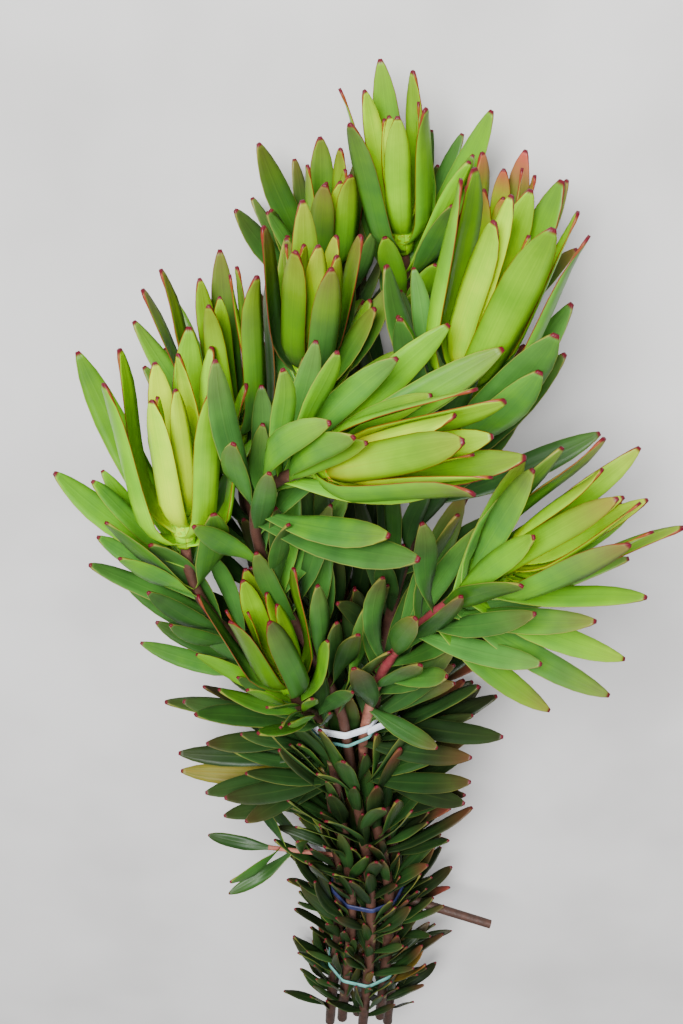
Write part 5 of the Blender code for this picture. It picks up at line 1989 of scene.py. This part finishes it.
def skin_group():
    """Colour, roughness and relief of a blade, from its own numbers and its map."""
    group, given, result = new_group(
        "blade_skin",
        {"Base Shift": 0.0, "Tip Shift": 0.1, "Rib": 0.1, "Rim": 0.4, "Margin": 0.5, "Tip": 0.96},
        {"Color": COLOUR, "Roughness": FLOAT, "Height": FLOAT},
    )
    across, along, vein = skin_map(group)
    blotch, grain = mottled(group)

    shift = maths(group, "SUBTRACT", given["Tip Shift"], given["Base Shift"])
    shift = product(group, ramp_share(group, along, *SHIFT_ALONG), shift)
    shift = total(group, given["Base Shift"], shift)
    wander = about_half(group, blotch, BLOTCH_SHIFT)
    wander = total(group, wander, about_half(group, vein, VEIN_SHIFT))
    age_and_shade = total(group, read_number(group, "age_and_shade"), shift, wander)
    colour = ramp_colour(group, age_and_shade, SKIN_AGE_AND_SHADE)

    # The tone number dims the colour: at random per blade, and as painted shade deep in the bunch and on
    # shaded heads.
    shade = ramp_share(group, read_number(group, "tone_and_shade"), *TINT_SHADES)
    shades = add_node(group, "ShaderNodeCombineColor")
    for socket in shades.inputs[:3]:
        group.links.new(shade, socket)
    colour = mixed(group, 1.0, colour, shades.outputs[0], "MULTIPLY")
    rib = ramp_share(group, across, *RIB_ACROSS)
    rib = product(group, rib, given["Rib"], ramp_share(group, along, *RIB_ALONG))
    colour = mixed(group, rib, colour, PALE_RIB)
    warm = product(group, read_number(group, "warm"), ramp_share(group, vein, *WARM_VEINS))
    colour = mixed(group, warm, colour, WARM_ORANGE)
    rim = ramp_share(group, across, *RIM_ACROSS)
    rim = product(group, rim, ramp_share(group, age_and_shade, *RIM_FADES))
    colour = mixed(group, product(group, rim, given["Rim"]), colour, EDGE_GREEN)
    flush = ramp_share(group, along, *BLUSH_ALONG)
    flush = product(group, flush, read_number(group, "blush"), BLUSH_MOST)
    colour = mixed(group, flush, colour, BLUSH_RED)
    edge = product(group, rim, given["Margin"], ramp_share(group, along, *MARGIN_ALONG))
    colour = mixed(group, edge, colour, MARGIN_RED)
    tip = ramp_share(group, maths(group, "SUBTRACT", along, given["Tip"]), *TIP_EDGE)
    group.links.new(mixed(group, tip, colour, TIP_RED), result["Color"])

    rough = total(group, product(group, grain, ROUGH_GRAIN), ROUGH_LEAST)
    group.links.new(rough, result["Roughness"])
    ridge = ramp_share(group, across, *RIDGE_ACROSS)
    height = total(
        group, product(group, vein, 0.5), product(group, ridge, 0.6), product(group, grain, 0.15)
    )
    group.links.new(height, result["Height"])
    return group


skin = skin_group()
print(len(skin.nodes), "nodes in the skin group")

# %% [markdown]
# ## Finishes
#
# Each finish is one Principled surface. What varies over it comes from the
# groups, and what is the same all over is set on the shader itself.

# %% Leaf, bract and cone finishes
def new_finish(name, **constants):
    """A material with one Principled surface. Returns it, its tree and the surface."""
    material = bpy.data.materials.new(name)
    material.use_nodes = True
    tree = material.node_tree
    return material, tree, set_inputs(tree.nodes["Principled BSDF"], **constants)


def add_relief(tree, surface, height, strength, distance):
    bump = set_inputs(add_node(tree, "ShaderNodeBump"), Strength=strength, Distance=distance)
    tree.links.new(height, bump.inputs["Height"])
    tree.links.new(bump.outputs["Normal"], surface.inputs["Normal"])


def skin_finish(name, relief, **inputs):
    material, tree, surface = new_finish(name, Specular_IOR_Level=0.15)
    group = set_inputs(add_node(tree, "ShaderNodeGroup", node_tree=skin), **inputs)
    tree.links.new(group.outputs["Color"], surface.inputs["Base Color"])
    tree.links.new(group.outputs["Roughness"], surface.inputs["Roughness"])
    add_relief(tree, surface, group.outputs["Height"], 0.5, relief)
    return material


leaf_skin = skin_finish(
    "leaf_skin", relief=0.00015,
    Base_Shift=0.02, Tip_Shift=-0.02, Rib=0.02, Rim=0.30, Margin=0.35, Tip=0.955,
)
bract_skin = skin_finish(
    "bract_skin", relief=0.00012,
    Base_Shift=-0.04, Tip_Shift=0.05, Rib=0.01, Rim=0.0, Margin=0.90, Tip=0.958,
)

# %% Bark finish
# Bark colour over the wood number: its dark end is old brown wood low down, and also painted shade on
# hidden and deep stems.
BARK_WOOD_AND_SHADE = (
    (0.0, (0.23, 0.030, 0.040)),
    (0.20, (0.30, 0.070, 0.065)),
    (0.40, (0.34, 0.130, 0.090)),
    (0.65, (0.085, 0.034, 0.022)),
    (1.0, (0.026, 0.012, 0.007)),
)
SCAR_GREEN = (0.42, 0.40, 0.14)
WOOD_WANDER = 0.5
SCAR_RAMP = (0.45, 0.9, 0.0, 0.7)
BARK_ROUGH = (0.45, 0.7)
GRAIN_SPAN = (0.3, 0.7)


def bark_finish():
    """Crimson young wood that turns brown, and darker brown as painted shade where stems lie deep or
    hidden, with pale green scars where leaves grow.
    """
    material, tree, surface = new_finish("bark", Specular_IOR_Level=0.35)
    blotch, grain = mottled(tree, Blotch_Scale=220.0, Grain_Scale=1400.0)
    wood_and_shade = total(tree, read_number(tree, "wood_and_shade"), about_half(tree, blotch, WOOD_WANDER))
    scar = ramp_share(tree, read_number(tree, "leaf_root"), *SCAR_RAMP)
    colour = mixed(tree, scar, ramp_colour(tree, wood_and_shade, BARK_WOOD_AND_SHADE), SCAR_GREEN)
    tree.links.new(colour, surface.inputs["Base Color"])
    rough = ramp_share(tree, grain, *GRAIN_SPAN, *BARK_ROUGH)
    tree.links.new(rough, surface.inputs["Roughness"])
    add_relief(tree, surface, total(tree, grain, blotch), 0.6, 0.0003)
    return material


bark = bark_finish()

# %% [markdown]
# ## Finishes of the ties
#
# The strap is smooth and pale, the rubber bands are duller. All take one
# recipe with other colours, since what differs is only colour and gloss.

# %% Tie finishes
FAINT_MARKS = (0.35, 0.7)


def tie_finish(name, colour, dark, rough, relief):
    """A smooth strap or rubber: one colour with faint marks, rough from low to high."""
    material, tree, surface = new_finish(name)
    blotch, grain = mottled(tree, Blotch_Scale=300.0, Grain_Scale=2500.0)
    share = ramp_share(tree, blotch, *FAINT_MARKS)
    tree.links.new(mixed(tree, share, colour, dark), surface.inputs["Base Color"])
    tree.links.new(ramp_share(tree, grain, *GRAIN_SPAN, *rough), surface.inputs["Roughness"])
    add_relief(tree, surface, grain, 0.4, relief)
    return material


TIE_LOOKS = {
    "tie": ("pale_strap", (0.72, 0.74, 0.80), (0.56, 0.58, 0.66), (0.25, 0.45), 0.00005),
    "tie_end": ("dark_end", (0.03, 0.03, 0.035), (0.055, 0.055, 0.06), (0.35, 0.6), 0.0001),
    "green_band": ("green_rubber", (0.12, 0.34, 0.30), (0.07, 0.24, 0.21), (0.5, 0.75), 0.0001),
    "blue_band": ("blue_rubber", (0.014, 0.019, 0.085), (0.008, 0.011, 0.045), (0.45, 0.7), 0.0001),
}
TIE_FINISHES = {slot_name: tie_finish(*look) for slot_name, look in TIE_LOOKS.items()}
TIE_SLOTS = {
    "upper_tie": "tie", "tie_tail": "tie", "tie_end": "tie_end",
    "upper_band": "green_band", "lower_band": "blue_band", "foot_band": "green_band",
}

# %% [markdown]
# ## Putting the pieces together
#
# Each head and each leafy stem becomes one object that stands for the packed
# model's node of that name. A leafy stem has two finishes, bark on its rods
# and skin on its leaves.

# %% Join, finish and hand over
def finished(node, slot_name, *pieces_by_finish):
    """Joins pieces with their finishes into the object that stands for a node."""
    every = []
    for material, pieces in pieces_by_finish:
        for piece in pieces:
            piece.data.materials.clear()
            piece.data.materials.append(material)
        every += pieces
    whole = joined(node + "_fine", every)
    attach(whole, "root")
    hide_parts(node)
    return whole


def beyond_box(piece, node):
    """How far a piece's box goes beyond its node's box, in mm."""
    low, high = np.array(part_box(node))
    points = read_points(piece.data)
    return 1000 * max(*(low - points.min(0)), *(points.max(0) - high))


shown = {}
for name in SHOOTS:
    node = "leafy_stem_" + name
    shown[node] = finished(node, "leaf", (bark, rods_of[node]), (leaf_skin, blades_of[node]))
    node = "head_" + name
    shown[node] = finished(node, "bract", (bract_skin, blades_of[node]))
for node, piece in tie_pieces.items():
    slot_name = TIE_SLOTS[node]
    shown[node] = finished(node, slot_name, (TIE_FINISHES[slot_name], [piece]))
for blank in (blank_leaf, blank_bract, rod, scale):
    remove(blank)
for node, piece in shown.items():
    triangles = sum(len(face.vertices) - 2 for face in piece.data.polygons)
    print(node, triangles, "triangles,", round(beyond_box(piece, node), 1), "mm beyond its node")

# %% [markdown]
# ## Floor
#
# A plain pale floor, faintly mottled, shows where the bunch rests. It is only
# a stage, so it is declared as one.

# %% Floor
FLOOR_LEVEL = -0.0002
FLOOR_PALE = (0.56, 0.55, 0.54)
FLOOR_DARKER = (0.46, 0.45, 0.44)
FLOOR_MARKS = (0.35, 0.75)


def floor_finish():
    material, tree, surface = new_finish("pale_floor", Roughness=0.7)
    blotch, _ = mottled(tree, Blotch_Scale=9.0, Grain_Scale=60.0)
    colour = mixed(tree, ramp_share(tree, blotch, *FLOOR_MARKS), FLOOR_PALE, FLOOR_DARKER)
    tree.links.new(colour, surface.inputs["Base Color"])
    return material


select_only()
bpy.ops.mesh.primitive_plane_add(size=6.0, location=(0.0, 0.0, FLOOR_LEVEL))
floor = bpy.context.object
floor.name = "floor"
bpy.ops.object.transform_apply(location=True, rotation=False, scale=False)
floor.data.materials.append(floor_finish())
floor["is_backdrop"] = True

# %% [markdown]
# ## Last measurements
#
# The whole bunch, dressed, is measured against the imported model.

# %% Sizes and finish
dressed_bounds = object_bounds()
sizes = dict(cad=[list(corner) for corner in cad_bounds], scene=[list(corner) for corner in dressed_bounds])
print("packed", sizes["cad"], "dressed", sizes["scene"])
